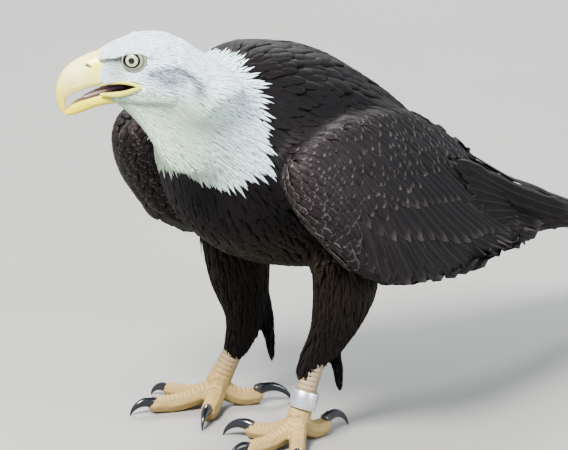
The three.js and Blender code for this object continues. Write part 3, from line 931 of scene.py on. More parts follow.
def lid_patch(name, side):
    """The two rings of bare skin round an eye, joined to the face at their outer edge."""
    axis = EYE_AXES[name]
    centre = EYE_AT * [1, side, 1]
    up = on_plane(np.array([0, 0, 1.0]), axis)
    fore = np.cross(axis, up) * side
    count = 72
    radii, heights = spline(LID, np.linspace(0, 1, 34)).T
    angle = turns(count)
    ring = circle(angle, fore, up)
    # the opening is a little longer than it is high, and drawn to a corner at the front
    corner = np.angle(np.exp(1j * (angle + 0.3)))
    shape = 1 + 0.05 * np.cos(2 * angle) + 0.05 * np.exp(-(corner**2) / 0.1)
    behind = 2.0 * ramp(7.6, 10.0, radii)
    flat = centre + ring[:, None] * (radii[None] * shape[:, None])[..., None] - fore * behind[None, :, None]
    rays = from_head(flat + axis * 30).reshape(-1, 3)
    way = -axis @ HEAD_AXES
    surface = np.array([30 - cast(face, p, way) for p in rays]).reshape(count, -1)
    surface = np.where(surface < -20, heights[None], surface)
    share = ramp(10.8, 12.6, radii)[None]
    high = blend(np.broadcast_to(heights, surface.shape), surface - 0.7, share)
    over_brow = flat[..., 2] - brow_at(flat[..., 0])
    high = high - 4.0 * ramp(-0.6, 1.2, over_brow)
    return from_head(flat + axis * high[..., None]).reshape(-1, 3), (count, len(radii))


def patch_quads(count, rings):
    """Faces between rings of points, of which each spoke is listed in turn."""
    a, k = np.meshgrid(np.arange(count), np.arange(rings - 1), indexing="ij")
    b = (a + 1) % count
    quads = np.stack([a * rings + k, a * rings + k + 1, b * rings + k + 1, b * rings + k], -1)
    return quads.reshape(-1, 4)


# ------------------------------------------------------------------ feet skin

TOES = {  # degrees from straight ahead, length, radius and claw, as on the CAD feet
    "inner": (60, 44, 8.4, 33),
    "middle": (0, 60, 8.0, 28),
    "outer": (-48, 50, 7.4, 23),
    "hind": (172, 37, 8.2, 39),
}
FEET = {
    "left": {"foot": (0, 46, 21), "hock": (-23, 50, 88), "turn": -4},
    "right": {"foot": (-22, -77, 21), "hock": (-49, -61, 84), "turn": -26},
}
TOE_CLEAR = 7.2  # height of the toes' middle lines over the floor


def toe_heading(name, toe):
    turn = math.radians(FEET[name]["turn"] - TOES[toe][0] * SIDES[name])
    return np.array([math.cos(turn), math.sin(turn), 0.0])


def foot_skin(name):
    """Shank and toes as one skin, ringed with scutes above and pebbled below."""
    nodes = [f"shank_{name}"] + [f"toe_{toe}_{name}" for toe in TOES]
    ob = fused(f"skin_foot_{name}", nodes, voxel=0.85, swell=0.5, rounds=8)
    points, normals = points_of(ob), normals_of(ob)
    foot, hock = (np.array(FEET[name][k], float) for k in ("foot", "hock"))
    up = unit(hock - foot)
    rise = (points - foot) @ up
    best = np.full(len(points), 1e9)
    ring = np.zeros(len(points))
    top = np.zeros(len(points))
    for toe, (_, length, radius, _) in TOES.items():
        heading = toe_heading(name, toe)
        out = (points - foot) @ heading
        beside = np.abs((points - foot) @ np.cross([0, 0, 1], heading))
        far = beside + 20 * (out < 2) + 6 * (out > length + 6)
        mine = far < best
        best = np.where(mine, far, best)
        ring = np.where(mine, out / 3.9, ring)
        top = np.where(mine, normals[:, 2] - 0.5 * beside / radius, top)
    on_shank = rise > 7
    ring = np.where(on_shank, rise / 4.4, ring)
    top = np.where(on_shank, normals[:, 0], top)
    scute = np.abs(((ring + 0.5) % 1) - 0.5) * 2
    groove = ramp(0.72, 1.0, scute) * ramp(-0.1, 0.35, top)
    swell = 0.4 * (1 - scute**2) * ramp(-0.1, 0.35, top)
    pebble = 0.28 * (lumps(points, 3.4, 3) - 0.5) * ramp(0.3, -0.1, top)
    moved = points + normals * (swell - 0.55 * groove + pebble - 0.35)[:, None]
    moved[:, 2] = np.maximum(moved[:, 2], 0.0)
    flat = moved[:, 2] < 0.9
    moved[flat, 2] = 0.0
    move_points(ob, moved)
    dark = 0.45 * groove + 0.25 * ramp(0.3, -0.3, top) * lumps(points, 9, 8)
    pale = ramp(5, 40, rise)
    colour = colour_mix([pale], [(0.39, 0.28, 0.125), (0.32, 0.255, 0.18)])
    return ob, colour * (1 - dark)[:, None]


feet = [foot_skin(name) for name in FEET]

# ------------------------------------------------------------------ the one skin

LID_SKIN = (0.24, 0.25, 0.19)
LORE_SKIN = (0.50, 0.48, 0.42)
GAPE = (0.60, 0.59, 0.13)
MOUTH = (0.10, 0.045, 0.07)


def quads_of(ob):
    loops = np.empty(len(ob.data.loops), np.int32)
    ob.data.loops.foreach_get("vertex_index", loops)
    return loops.reshape(len(ob.data.polygons), -1)


def height_over(surface, points, reach):
    """How far points near the head lie outside a surface; less than nothing if inside it."""
    out = np.full(len(points), 99.0)
    close = np.linalg.norm(points - HEAD_AT, axis=1) < reach
    place, normal = surface.nearest(points[close])
    off = points[close] - place
    out[close] = np.where(np.linalg.norm(off, axis=1) > 13, 99.0, (off * normal).sum(1))
    return out


def outside_head(ob):
    """The faces of the body's skin that the head's own skin doesn't cover."""
    points = points_of(ob)
    x, y, z = to_head(points).T
    under = (height_over(face, points, 62) < -1.5) & (x > -6)
    under |= (x > 4) & (z > -28) & (z < -5) & (np.abs(y) < 32)
    quads = quads_of(ob)
    return quads[~under[quads].all(1)]


on_body = body_colour(outline.points)
# the wings' skin takes the quill colour, and so does a band 2.5 mm wide on the tail beside them: painted
# shade in the corner where they meet
wing_skin_and_corner_shade = np.minimum(near["wing_left"], near["wing_right"]) < np.where(region == "tail", 2.5, 0.01)
wing_skin_and_corner_shade |= np.isin(region, ["wing_left", "wing_right"])
on_body[wing_skin_and_corner_shade] = QUILL
parts = [(points_of(body_skin), outside_head(body_skin), on_body)]
x, _, z = to_head(points_of(head_skin)).T
lores = np.clip(1.3 * spot(x, z, (35, 3), (9, 9)), 0, 1)
on_head = colour_mix([lores], [head_colour(points_of(head_skin)), LORE_SKIN])
on_head[inside_gape > -1.5] = MOUTH
head_quads = quads_of(head_skin)
parts.append((points_of(head_skin), np.hstack([head_quads, head_quads[:, 2:]]), on_head))
parts += [(points_of(ob), quads_of(ob), colour) for ob, colour in feet]
for name, side in SIDES.items():
    places, (count, rings) = lid_patch(name, side)
    radius = np.tile(spline(LID, np.linspace(0, 1, rings))[:, 0], count)
    # the lid's dark rim by the eye, and two thin dark rings that are painted shade in the lid's folds
    dark = np.maximum(ramp(7.5, 7.15, radius), 0.85 * np.exp(-(((radius - 9.0) / 0.3) ** 2)))
    dark = np.maximum(dark, 0.6 * np.exp(-(((radius - 10.9) / 0.35) ** 2)))
    colours = colour_mix([ramp(10.6, 11.4, radius), dark], [LID_SKIN, SNOW, (0.02, 0.02, 0.02)])
    quads = patch_quads(count, rings)
    if side < 0:
        quads = quads[:, ::-1]
    parts.append((places, quads, colours))


def gape_lip(side, line, front, back, flat):
    """The soft yellow edge of the gape, along the cheek from the bill to the mouth's corner."""
    path = spline([(x, side * y, z) for x, y, z in line], np.linspace(0, 1, 60))
    swelling = 0.25 + 0.75 * np.sin(np.linspace(0.05, 2.5, 60)) ** 0.7
    thick = blend(front, back, np.linspace(0, 1, 60)) * swelling
    path[:, 2] -= np.maximum(thick - 1.5, 0) * 0.8
    sections = limb(np.hstack([path, thick[:, None] * flat, thick[:, None]]))
    points, tris, _ = loft(sections, 60, 12, (1, 1), 3)
    return from_head(points), tris


for ob in (body_skin, head_skin, *(f[0] for f in feet)):
    bpy.data.objects.remove(ob)
places, quads, colours = together(parts)
skin_object = quad_mesh("skin", places, quads)
paint(skin_object, "hue", colours)


def grained(name, scale, detail, spread, least, relief, strength, **sockets):
    """The painted colour under a fine grain, which also gives a slight relief."""
    m = Shades(name, **sockets)
    fine = m.noise(m.place(), scale, detail, 0.6)
    colour = m.scaled(m.colour("hue"), m.math("MULTIPLY_ADD", fine, spread, least))
    return m.finish(colour, m.bump(fine, relief, strength))


FLESH = BODY_NODES + [f"shank_{n}" for n in SIDES] + [f"toe_{t}_{n}" for n in SIDES for t in TOES]
skin_look = grained("skin", scale=900.0, detail=3.0, spread=0.3, least=0.85, relief=0.2, strength=0.5,
                    roughness=0.6, specular_ior_level=0.3, subsurface_weight=0.05, subsurface_scale=0.002)
ready(skin_object, skin_look, "foot_skin", *FLESH)

flesh = grained("soft_flesh", scale=700.0, detail=4.0, spread=0.35, least=0.8, relief=0.25, strength=0.5,
                roughness=0.42, subsurface_weight=0.1, subsurface_scale=0.002)
# each lip: its line, how thick it is in front and behind, and how flat
LIPS = [(UPPER_GAPE, 1.6, 1.6, 0.8), (LOWER_GAPE, 3.4, 1.6, 0.62)]
lips = [(*gape_lip(side, *lip), GAPE) for side in SIDES.values() for lip in LIPS]
smooth_piece("gape", lips, flesh, "bill_horn")

# ------------------------------------------------------------------ bill, tongue, eyes


def horn_material(name, rough, coat):
    m = Shades(name, roughness=rough, coat_weight=coat, coat_roughness=0.12)
    place = m.place()
    streak = m.noise(m.node("Mapping", place, None, (0.5, 0.8, 0.3), (90.0, 90.0, 420.0)), 1.0, 4.0)
    fine = m.noise(place, 260.0, 4.0, 0.65)
    colour = m.mix(m.step(streak, 0.3, 0.75), m.colour("hue"), (1.0, 0.93, 0.78), "MULTIPLY")
    colour = m.scaled(colour, m.math("MULTIPLY_ADD", fine, 0.24, 0.88))
    return m.finish(colour, m.bump(m.math("ADD", fine, streak), 0.12, 0.4))


# sections of the bill, from its base to its tip
UPPER = [
    rung((36, 13.4), (31, -11), 12, 0.38),
    rung((47.5, 11.8), (41.5, -16.4), 12.6, 0.4),
    rung((60.5, 7.2), (51.8, -18.6), 11.4, 0.4),
    rung((72.5, -0.8), (61.5, -22.2), 9.6, 0.42),
    rung((80.2, -11.2), (68.8, -25), 7.2, 0.44),
    rung((83.4, -24.5), (73.6, -29.7), 5.2, 0.46),
    rung((82.0, -36), (75.2, -37.5), 3.5, 0.48),
    rung((77.7, -44.6), (75, -45.0), 1.5, 0.5),
]
LOWER = [
    rung((16, -21), (18, -32), 16),
    rung((31, -20.6), (31, -34), 12.6),
    rung((46, -24.6), (45.5, -37), 10),
    rung((57, -28.4), (55.8, -41), 8.2),
    rung((67, -33.2), (65.8, -45), 6.4),
    rung((75.0, -41.2), (73.8, -46.4), 3.6),
]
CREAM_HORN = (0.78, 0.76, 0.42)
YELLOW_HORN = (0.70, 0.62, 0.06)
PALE_HORN = (0.74, 0.70, 0.58)
ORANGE_HORN = (0.62, 0.56, 0.06)
CERE = (0.76, 0.74, 0.17)


def upper_bill():
    points, tris, along = loft(UPPER, 150, 112, (4, 1.6), 8, under=4.5)
    normals = smooth_normals(points, tris)
    x, y, z = points.T
    # the roof of the mouth is hollow between the cutting edges
    under = ramp(-0.3, -0.8, normals[:, 2]) * ramp(0.8, 0.5, along)
    wide = np.interp(along, np.linspace(0, 1, 8), [12, 12.6, 11.2, 9.1, 6.7, 4.8, 3.2, 1.4])
    hollow = under * np.clip(1 - (np.abs(y) / (0.8 * wide)) ** 4, 0, 1)
    points[:, 2] += 3.6 * hollow
    points[:, 0] -= 1.2 * hollow
    # the cere stands a little proud of the horn, behind a curved edge
    edge = 59.0 - 0.02 * (z + 2) ** 2
    cere = ramp(edge + 0.9, edge - 0.7, x) * (1 - under)
    points += normals * (0.35 * cere)[:, None]
    bright = ramp(edge + 1.0, edge - 9.0, x) * ramp(-14, -4, z) * (1 - under)
    # the nostril is a slanting slit in it
    slant = (x - 55.0) * 0.93 + (z - 1.6) * 0.37
    cross = (x - 55.0) * 0.37 - (z - 1.6) * 0.93
    slit = np.exp(-((slant / 2.7) ** 4) - (cross / 0.95) ** 2) * (np.abs(y) > 4)
    lip = np.exp(-((slant / 4.0) ** 4) - (cross / 2.2) ** 2) * (np.abs(y) > 4)
    points += normals * (0.45 * lip - 2.8 * slit)[:, None]
    # a shallow groove runs above the cutting edge
    groove = np.exp(-(((normals[:, 2] + 0.35) / 0.12) ** 2)) * ramp(0.9, 0.7, along) * ramp(0.15, 0.3, along)
    points -= normals * (0.35 * groove)[:, None]
    hook = ramp(0.35, 0.8, along)
    low_edge = 0.6 * ramp(0.3, -0.4, normals[:, 2])
    # the nostril's slit is painted near-black, a painted shade inside the opening
    shares = [np.maximum(hook * 0.9, low_edge), bright, np.clip(slit * 1.6, 0, 1)]
    colour = colour_mix(shares, [CREAM_HORN, YELLOW_HORN, CERE, (0.02, 0.015, 0.012)])
    tip = ramp(0.93, 1.0, along)[:, None]
    colour = blend(colour, np.array(PALE_HORN) * 0.8, tip * 0.5)
    colour = colour_mix([under * hollow], [colour, (0.32, 0.17, 0.14)])
    return from_head(points), tris, colour


def lower_bill():
    points, tris, along = loft(LOWER, 100, 96, (4, 1.4), 8, square=2.4)
    normals = smooth_normals(points, tris)
    y = points[:, 1]
    wide = np.interp(along, np.linspace(0, 1, 6), [16, 12.4, 9.8, 8, 6, 3.4])
    upward = ramp(0.45, 0.9, normals[:, 2])
    hollow = upward * np.clip(1 - (np.abs(y) / (0.82 * wide)) ** 2, 0, 1)
    points[:, 2] -= 3.2 * hollow * ramp(1.0, 0.8, along)
    colour = colour_mix([ramp(0.0, 0.5, along) * 0.5, hollow], [ORANGE_HORN, YELLOW_HORN, (0.26, 0.12, 0.12)])
    return from_head(points), tris, colour


horn = horn_material("bill_horn", 0.34, 0.35)
smooth_piece("bill_upper_look", [upper_bill()], horn, "bill_horn", "bill_upper")
smooth_piece("bill_lower_look", [lower_bill()], horn, "bill_horn", "bill_lower")


def tongue():
    line = [(10, 0, -19.5, 6.5, 2.4), (28, 0, -20, 6.5, 2.6),
            (44, 0, -23.5, 5.4, 2.3), (57, 0, -28.5, 3.6, 1.6)]
    points, tris, along = loft(limb(line), 70, 48, (3, 3), 8)
    top = smooth_normals(points, tris)[:, 2] > 0.2
    points[:, 2] -= 0.9 * np.exp(-((points[:, 1] / 1.3) ** 2)) * top
    colour = colour_mix([ramp(0.3, 0.9, along)], [(0.26, 0.14, 0.19), (0.42, 0.32, 0.35)])
    return from_head(points), tris, colour


smooth_piece("tongue_look", [tongue()], flesh, "tongue_skin", "tongue")


def eye_ball(name, side):
    """A ball with a bulging cornea; its map gives the angle from its axis and round it."""
    axis = unit(EYE_AXES[name])
    up = on_plane(np.array([0, 0, 1.0]), axis)
    fore = np.cross(up, axis)
    rings, count = 64, 72
    theta = np.linspace(0.0, np.pi, rings + 1)[1:-1]
    angle = turns(count)
    radius = 11.35 + 0.75 * ramp(42, 24, np.degrees(theta))
    out = (np.sin(theta) * radius)[:, None, None] * circle(angle, fore, up)
    body = out + (np.cos(theta) * radius)[:, None, None] * axis
    points = np.vstack([body.reshape(-1, 3), axis * 12.1, -axis * 11.35])
    tris = tube_tris(points, len(theta), count)
    ob = quad_mesh(f"eye_{name}_look", from_head(points + EYE_AT * [1, side, 1]), tris)
    theta_all = np.append(np.repeat(theta, count), [0, np.pi])
    angle_all = np.append(np.tile(angle, len(theta)), [0, 0])
    lens = np.stack([theta_all / np.pi * 2, np.cos(angle_all) / 2 + 0.5, np.sin(angle_all) / 2 + 0.5], 1)
    paint(ob, "lens", lens)
    return ob


def eye_material():
    m = Shades("eye", roughness=0.25, coat_weight=1.0, coat_roughness=0.015, coat_ior=1.4)
    part = m.parts(m.colour("lens"))
    turned = m.math("MULTIPLY", part[0], 90.0)
    around = [m.math("MULTIPLY", axis, 9.0) for axis in part[1:3]]
    rays = m.noise(m.join(*around, m.math("MULTIPLY", turned, 0.05)), 2.2, 4.0, 0.7)
    iris = m.mix(rays, (0.27, 0.345, 0.21), (0.44, 0.53, 0.35))
    iris = m.mix(m.step(turned, 13.0, 16.5), (0.30, 0.31, 0.24), iris)
    iris = m.mix(m.math("MULTIPLY", m.step(turned, 24.0, 27.0), 0.6), iris, (0.16, 0.16, 0.12))
    pupil = m.step(turned, 12.6, 13.8)
    colour = m.mix(pupil, (0.003, 0.003, 0.003), iris)
    colour = m.mix(m.step(turned, 27.0, 28.2), colour, (0.012, 0.012, 0.012))
    return m.finish(colour)


eye_look = eye_material()
for name, side in SIDES.items():
    ready(eye_ball(name, side), eye_look, "eye", f"eye_{name}")

# ------------------------------------------------------------------ claws and band

CLAW_BEND, CLAW_LIFT = 100, 28


def claw(name, toe):
    _, length, radius, reach = TOES[toe]
    heading = toe_heading(name, toe)
    foot = np.array(FEET[name]["foot"], float) * [1, 1, 0]
    root = foot + heading * (length - 1)
    turned = np.radians(np.linspace(0, CLAW_BEND, 7))
    arc = reach / math.radians(CLAW_BEND)
    lift = math.radians(CLAW_LIFT)
    out = arc * (np.sin(turned - lift) + math.sin(lift))
    up = arc * (np.cos(turned - lift) - math.cos(lift))
    size = radius * 0.62 * (1 - np.linspace(0, 1, 7) ** 1.3) + 0.45
    line = root + heading * out[:, None]
    high = TOE_CLEAR + 2.2 + up
    high = high - np.min(high - size * 0.6) - 0.4
    line[:, 2] = high
    sections = limb(np.hstack([line, size[:, None] * 0.8, size[:, None]]))
    points, tris, along = loft(sections, 48, 28, (3, 0.8), 5)
    points[:, 2] = np.maximum(points[:, 2], 0.0)
    colour = colour_mix([0.35 * ramp(0.14, 0.0, along)], [(0.012, 0.013, 0.018), (0.10, 0.09, 0.08)])
    return points, tris, colour


claw_look = grained("claw_horn", scale=500.0, detail=4.0, spread=0.8, least=0.6, relief=0.1, strength=0.4,
                    roughness=0.22, coat_weight=0.5, coat_roughness=0.08)
for name in SIDES:
    for toe in TOES:
        node = f"claw_{toe}_{name}"
        smooth_piece(f"{node}_look", [claw(name, toe)], claw_look, "claw_horn", node)


def band():
    """A plain metal ring: rounded edges, and a folded seam that stands out behind."""
    foot, hock = (np.array(FEET["left"][k], float) for k in ("foot", "hock"))
    up = unit(hock - foot)
    fore = on_plane(np.array([1.0, 0, 0]), up)
    side = np.cross(up, fore)
    middle_at = foot + up * 20
    count = 120
    profile = [(10.95, -7.6), (11.1, -7.95), (11.6, -8.0), (12.1, -7.95), (12.3, -7.6)]
    profile += [(r, -z) for r, z in profile[::-1]]
    r, z = np.array(profile).T
    ring = circle(turns(count), fore, side)
    points = middle_at + ring[:, None] * r[None, :, None] + up * z[None, :, None]
    k = len(profile)
    a, j = np.meshgrid(np.arange(count), np.arange(k), indexing="ij")
    b, l = (a + 1) % count, (j + 1) % k
    tris = np.stack([a * k + j, b * k + j, b * k + l, a * k + j, b * k + l, a * k + l], -1).reshape(-1, 3)
    ring_part = (points.reshape(-1, 3), tris, (0.8, 0.8, 0.86))
    seam = [
        (middle_at - fore * out, side * (0.9 if out > 12.5 else 1.5), up * 7.7, -up * 7.7)
        for out in (11.6, 12.6, 14, 15.4, 16.4)
    ]
    lock, lock_tris, _ = loft(seam, 12, 32, (0.2, 0.5), 4, square=6)
    return [ring_part, (lock, lock_tris, (0.78, 0.78, 0.84))]


def metal_material():
    m = Shades("band_metal", roughness=0.34, metallic=1.0)
    place = m.place()
    brushed = m.noise(m.node("Mapping", place, None, None, (300.0, 300.0, 2600.0)), 1.0, 4.0)
    spots = m.noise(place, 120.0, 5.0, 0.7)
    colour = m.mix(m.step(spots, 0.45, 0.75), m.colour("hue"), (0.42, 0.42, 0.47))
    return m.finish(colour, m.bump(brushed, 0.05, 0.35))


smooth_piece("leg_band_look", band(), metal_material(), "band_metal", "leg_band")

# ------------------------------------------------------------------ the coat

white_vane = feather_material("white_vane", edge=(0.95, 0.955, 0.97), barbs=46.0, roughness=0.75, sheen=0.2,
                              gap_shade=0.06, soft=0.4)
brown_vane = feather_material("brown_vane", edge=(0.075, 0.056, 0.042), barbs=40.0, roughness=0.62, gap_shade=0.5)
wing_vane = feather_material("wing_vane", edge=(0.20, 0.168, 0.165), barbs=40.0, roughness=0.55, shaft=0.1,
                             gap_shade=0.5)
tail_vane = feather_material("tail_vane", edge=(0.8, 0.8, 0.82), barbs=60.0, roughness=0.65, sheen=0.1,
                             shaft=0.3, gap_shade=0.2)
WHITE = (white_vane, "white_feathers")
BROWN = (brown_vane, "brown_feathers")
WING_LOOK = (wing_vane, "wing_feathers")
TAIL_LOOK = (tail_vane, "tail_feathers")
UNEVEN = 0.15  # how much the sizes of a tract's feathers differ
rng = np.random.default_rng(20)


def tract(name, where, tries, colour, look, vane, stations, spacing, length, half, rise, lift, pale=0.3,
          surface=skin, thick=0.35, swing=0.12, lie=lie_of, arch=0.18, cling=1.0):
    """One coat piece: feathers rooted evenly over chosen places, with sizes that may go by place."""
    def at(value, roots):
        return value(roots) if callable(value) else np.full(len(roots), float(value))

    roots = surface.scatter(where, tries, rng)
    roots = roots[apart(roots, at(spacing, roots))]
    count = len(roots)
    long = at(length, roots) * (1 + UNEVEN * rng.normal(size=count).clip(-2, 2))
    wide = at(half, roots) * (1 + UNEVEN * rng.normal(size=count) * 0.6)
    turn = rng.normal(size=count) * swing
    laid = lay(roots, surface, long, at(rise, roots), stations, lift, turn, lie, cling)
    tones = tones_for(rng, count, pale)
    plumage(name, roots, laid, wide, vane, tones, colour(roots), look, thick, arch)


# ------------------------------------------------------------------ where each tract grows

inside_hood = within_hood(outline.points)
skin_local = to_head(skin.points)

# the face: very small feathers, round the eyes and back from the bill
face_local = to_head(face.points)
x, _, z = face_local.T
on_face = (height_over(skin, face.points, 90) > -2.2) | ((x > -34) & (z > -26))
on_face &= inside_gape < -0.5
for name in SIDES:
    fore = on_plane(np.array([1.0, 0, 0]), EYE_AXES[name])
    out, round_it = round_eye(face_local + 2.0 * fore, name)
    on_face &= ~((round_it < 10.0) & (out > 0) & (z < brow_at(x) + 0.2))
for line, clear in ((UPPER_GAPE, 2.2), (LOWER_GAPE, 3.0)):
    on_face &= distance_to(face_local, line) > clear


def face_size(roots):
    """0 for the smallest feathers, round the eye and by the bill, and 1 for the largest."""
    local = to_head(roots)
    back = ramp(38, -26, local[:, 0])
    eye = np.linalg.norm((local - EYE_AT * [1, 0, 1]) * [1, 0, 1], axis=1)
    low = ramp(-14, -36, local[:, 2])
    return np.maximum(back * ramp(9, 26, eye + 6 * (local[:, 0] < 6)), low)


tract("coat_face", on_face, 90000, head_colour, WHITE, LEAF, stations=5,
      spacing=lambda r: 1.0 + 0.9 * face_size(r), length=lambda r: 3.2 + 6.0 * face_size(r),
      half=lambda r: 0.85 + 0.9 * face_size(r), rise=0.45, lift=0.02,
      pale=0.2, surface=face, thick=0.1, arch=0.07)

# the nape, the throat and the hood
not_wing = np.isin(region, ["neck", "trunk", "head"])
out_of_face = (height_over(face, skin.points, 75) > -3.5) | (skin_local[:, 0] < -30)
on_nape = not_wing & (inside_hood > 13) & out_of_face
on_nape &= (skin_local[:, 0] < 14) | (skin_local[:, 2] < -20)


def hood_size(roots):
    """0 for the shortest feathers of the hood, next to the face, and 1 for the longest."""
    local = to_head(roots)
    return ramp(20, 125, np.linalg.norm(local, axis=1) * 0.5 - 0.62 * local[:, 0])


def hood_rise(roots):
    """How high the tips stand: nearly flat where the hood runs on from the face."""
    away = np.linalg.norm(to_head(roots), axis=1)
    return 0.5 + 0.9 * ramp(50, 85, away) + 0.8 * ramp(36, 15, within_hood(roots))


for name, side in SIDES.items():
    on_side = on_nape & (skin_local[:, 1] * side > -3)
    tract(f"coat_hood_{name}", on_side, 60000, head_colour, WHITE, LEAF, stations=6,
          spacing=lambda r: 1.5 + 1.6 * hood_size(r), length=lambda r: 10 + 18 * hood_size(r),
          half=lambda r: 1.4 + 1.7 * hood_size(r), rise=hood_rise, lift=0.6,
          thick=0.14, swing=0.1, arch=0.06, cling=0.8)

# the dark body
on_trunk = np.isin(region, ["neck", "trunk"]) & (inside_hood < 18)
on_top = skin.points[:, 2] > 232 - 0.15 * skin.points[:, 0]


def back_size(roots):
    return ramp(70, 0, roots[:, 0])


def trunk_rise(roots):
    """How high the tips stand: low under the hood's edge."""
    return 1.2 + 1.6 * ramp(5, -25, within_hood(roots))


tract("coat_back", on_trunk & on_top, 30000, brown_colour, BROWN, ROUND, stations=7,
      spacing=lambda r: 4.3 + 2.5 * back_size(r), length=lambda r: 22 + 14 * back_size(r),
      half=lambda r: 4.0 + 2.6 * back_size(r), rise=trunk_rise, lift=0.3, pale=0.16)
tract("coat_breast", on_trunk & ~on_top, 40000, brown_colour, BROWN, ROUND, stations=7,
      spacing=5.0, length=24, half=4.1, rise=trunk_rise, lift=0.3, pale=0.55)


def hang(points):
    """Down the thigh: as the coat lies at the top, and nearly straight down lower on it."""
    low = ramp(150, 90, points[:, 2])[:, None]
    return unit(blend(lie_of(points), np.array([-0.12, 0, -1.0]), low * 0.8))


def thigh_size(roots):
    return ramp(70, 150, roots[:, 2])


for name in SIDES:
    on_thigh = (region == f"thigh_{name}") & (skin.points[:, 2] > 46)
    tract(f"coat_thigh_{name}", on_thigh, 40000, brown_colour, BROWN, LEAF, stations=6,
          spacing=lambda r: 2.5 + 1.4 * thigh_size(r), length=lambda r: 18 + 8 * thigh_size(r),
          half=lambda r: 1.9 + 1.6 * thigh_size(r), rise=2.0, lift=0.2,
          pale=0.2, cling=0.3, lie=hang, thick=0.2)

# ------------------------------------------------------------------ wings

WING = np.array([  # x, middle height, half-height
    (-420, 109, 7), (-370, 128, 9), (-310, 147, 15), (-250, 168, 35), (-190, 192, 57), (-130, 211, 74),
    (-70, 222, 82), (-16, 232, 76), (24, 250, 56), (48, 262, 40), (60, 268, 24),
], float)
WING_AHEAD = {"left": 0, "right": 18}


def wing_heights(x):
    """The middle height and the half-height of the folded wing, this far along it."""
    return (np.interp(x, WING[:, 0], WING[:, k]) for k in (1, 2))


def ahead(name, x):
    """How much further ahead one wing lies than the other."""
    return WING_AHEAD[name] * ramp(-420, 60, x)


def on_wing_at(name, points):
    """Places on the folded wing: how far back, how high from -1 to 1, and the half-height."""
    x = points[:, 0] - ahead(name, points[:, 0])
    mid, half = wing_heights(x)
    return x, (points[:, 2] - mid) / half, half


def droop(x):
    """How much steeper than the wing's own line its feathers point, in radians."""
    return np.radians(3 + 9 * ramp(-260, -180, x) + 40 * ramp(-210, 10, x))


def wing_lie(name):
    """The way that one wing's feathers point, as a function of their places."""
    def lie(points):
        x, high, half = on_wing_at(name, points)
        high = np.clip(high, -1, 1)
        mid, _ = wing_heights(x)
        mid_behind, half_behind = wing_heights(x - 10)
        slope = (mid - mid_behind + high * (half - half_behind)) / 10
        turn = np.arctan(slope) * ramp(30, -20, x) + droop(x)
        outward = SIDES[name] * 0.8 * ramp(0, 45, x)
        return unit(np.stack([-np.cos(turn), outward, -np.sin(turn)], 1))

    return lie


def wing_colour(points):
    """Brown in front, and nearly black along the long feathers."""
    front = ramp(-100, 35, points[:, 0])
    shade = colour_mix([front], [QUILL, COVERT])
    return shade * (0.8 + 0.4 * lumps(points, 35, 9))[:, None]


def wing_tracts(name):
    """Small coverts in front and along the top, and a close coat under the rows of long feathers."""
    x, high, _ = on_wing_at(name, skin.points)
    on_wing = region == f"wing_{name}"
    small = on_wing & ((x > 12) | (high > 0.12 + 0.5 * ramp(20, -190, x))) & (x > -215)
    tract(f"coat_coverts_{name}", small, 30000, wing_colour, WING_LOOK, ROUND, stations=7,
          spacing=lambda r: 3.6 + 3.2 * ramp(70, 20, r[:, 0]),
          length=lambda r: 13 + 15 * ramp(70, -30, r[:, 0]),
          half=lambda r: 3.7 + 2.9 * ramp(70, 20, r[:, 0]), rise=1.8, lift=1.4,
          pale=1.0, lie=wing_lie(name), swing=0.1, thick=0.25)

    limit = blend(0.6, 0.3, ramp(-170, -290, x))
    top = blend(1.2, limit, ramp(-100, -180, x))
    under = on_wing & (x < 20) & (x > -290) & (high > -limit) & (high < top)

    def to_edge(roots):
        """How long a feather is that reaches the wing's lower edge."""
        x, high, half = on_wing_at(name, roots)
        reach = np.maximum(high + 0.87, 0.1) * half / np.sin(droop(x))
        return np.clip(np.minimum(reach, (x + 420) * 0.8), 6, 60)

    tract(f"coat_under_{name}", under, 20000, wing_colour, WING_LOOK, BLADE, stations=9, spacing=10.0,
          length=to_edge, half=lambda r: 7.5 - 2.5 * ramp(-300, -410, r[:, 0]), rise=0.3, lift=0.2,
          pale=0.5, lie=wing_lie(name), swing=0.05, thick=0.3)


def wing_rows(name):
    """The rows of long feathers, each overlapping the one in front of it."""
    rows = []  # how far back, root and tip height, greatest length, half-width, lift
    for k in range(17):
        rows.append((8 - 13.0 * k, 0.12, -0.87, 175, 9.0, 0.2 + 0.05 * k))
    for k in range(18):
        rows.append((14 - 12.5 * k, 0.42, -0.3, 120, 8.2, 1.1 + 0.05 * k))
    for k in range(18):
        rows.append((14 - 12.5 * k, 0.62, 0.1, 70, 7.4, 1.7 + 0.04 * k))
    for k in range(5):  # these run back along the wing, whatever its height
        rows.append((-125 - 17 * k, 0.86 - 0.03 * k, 0, 105 + 10 * k, 10.5, 2.0 + 0.15 * k))
    x, root, tip, longest, half, lift = np.array(rows).T
    mid, high = wing_heights(x)
    to_tip = np.minimum((root - tip) * high / np.sin(droop(x - 30)), x + 318)
    reach = np.where(tip != 0, np.minimum(to_tip, longest), longest)
    out = SIDES[name] * np.interp(x, [-420, -250, -130, 0], [40, 70, 120, 140])
    roots, _ = skin.nearest(np.stack([x + ahead(name, x), out, mid + high * root], 1))
    laid = lay(roots, skin, reach, rise=0.5, stations=14, lift=lift, lie=wing_lie(name), cling=0.75)
    tones = tones_for(np.random.default_rng(4), len(rows), 0.55)
    shade = wing_colour(roots) * np.where(tip == 0, 0.6, 1.0)[:, None]
    plumage(f"coat_flight_{name}", roots, laid, half, FLIGHT, tones, shade, WING_LOOK,
            thick=0.4, arch=0.1)


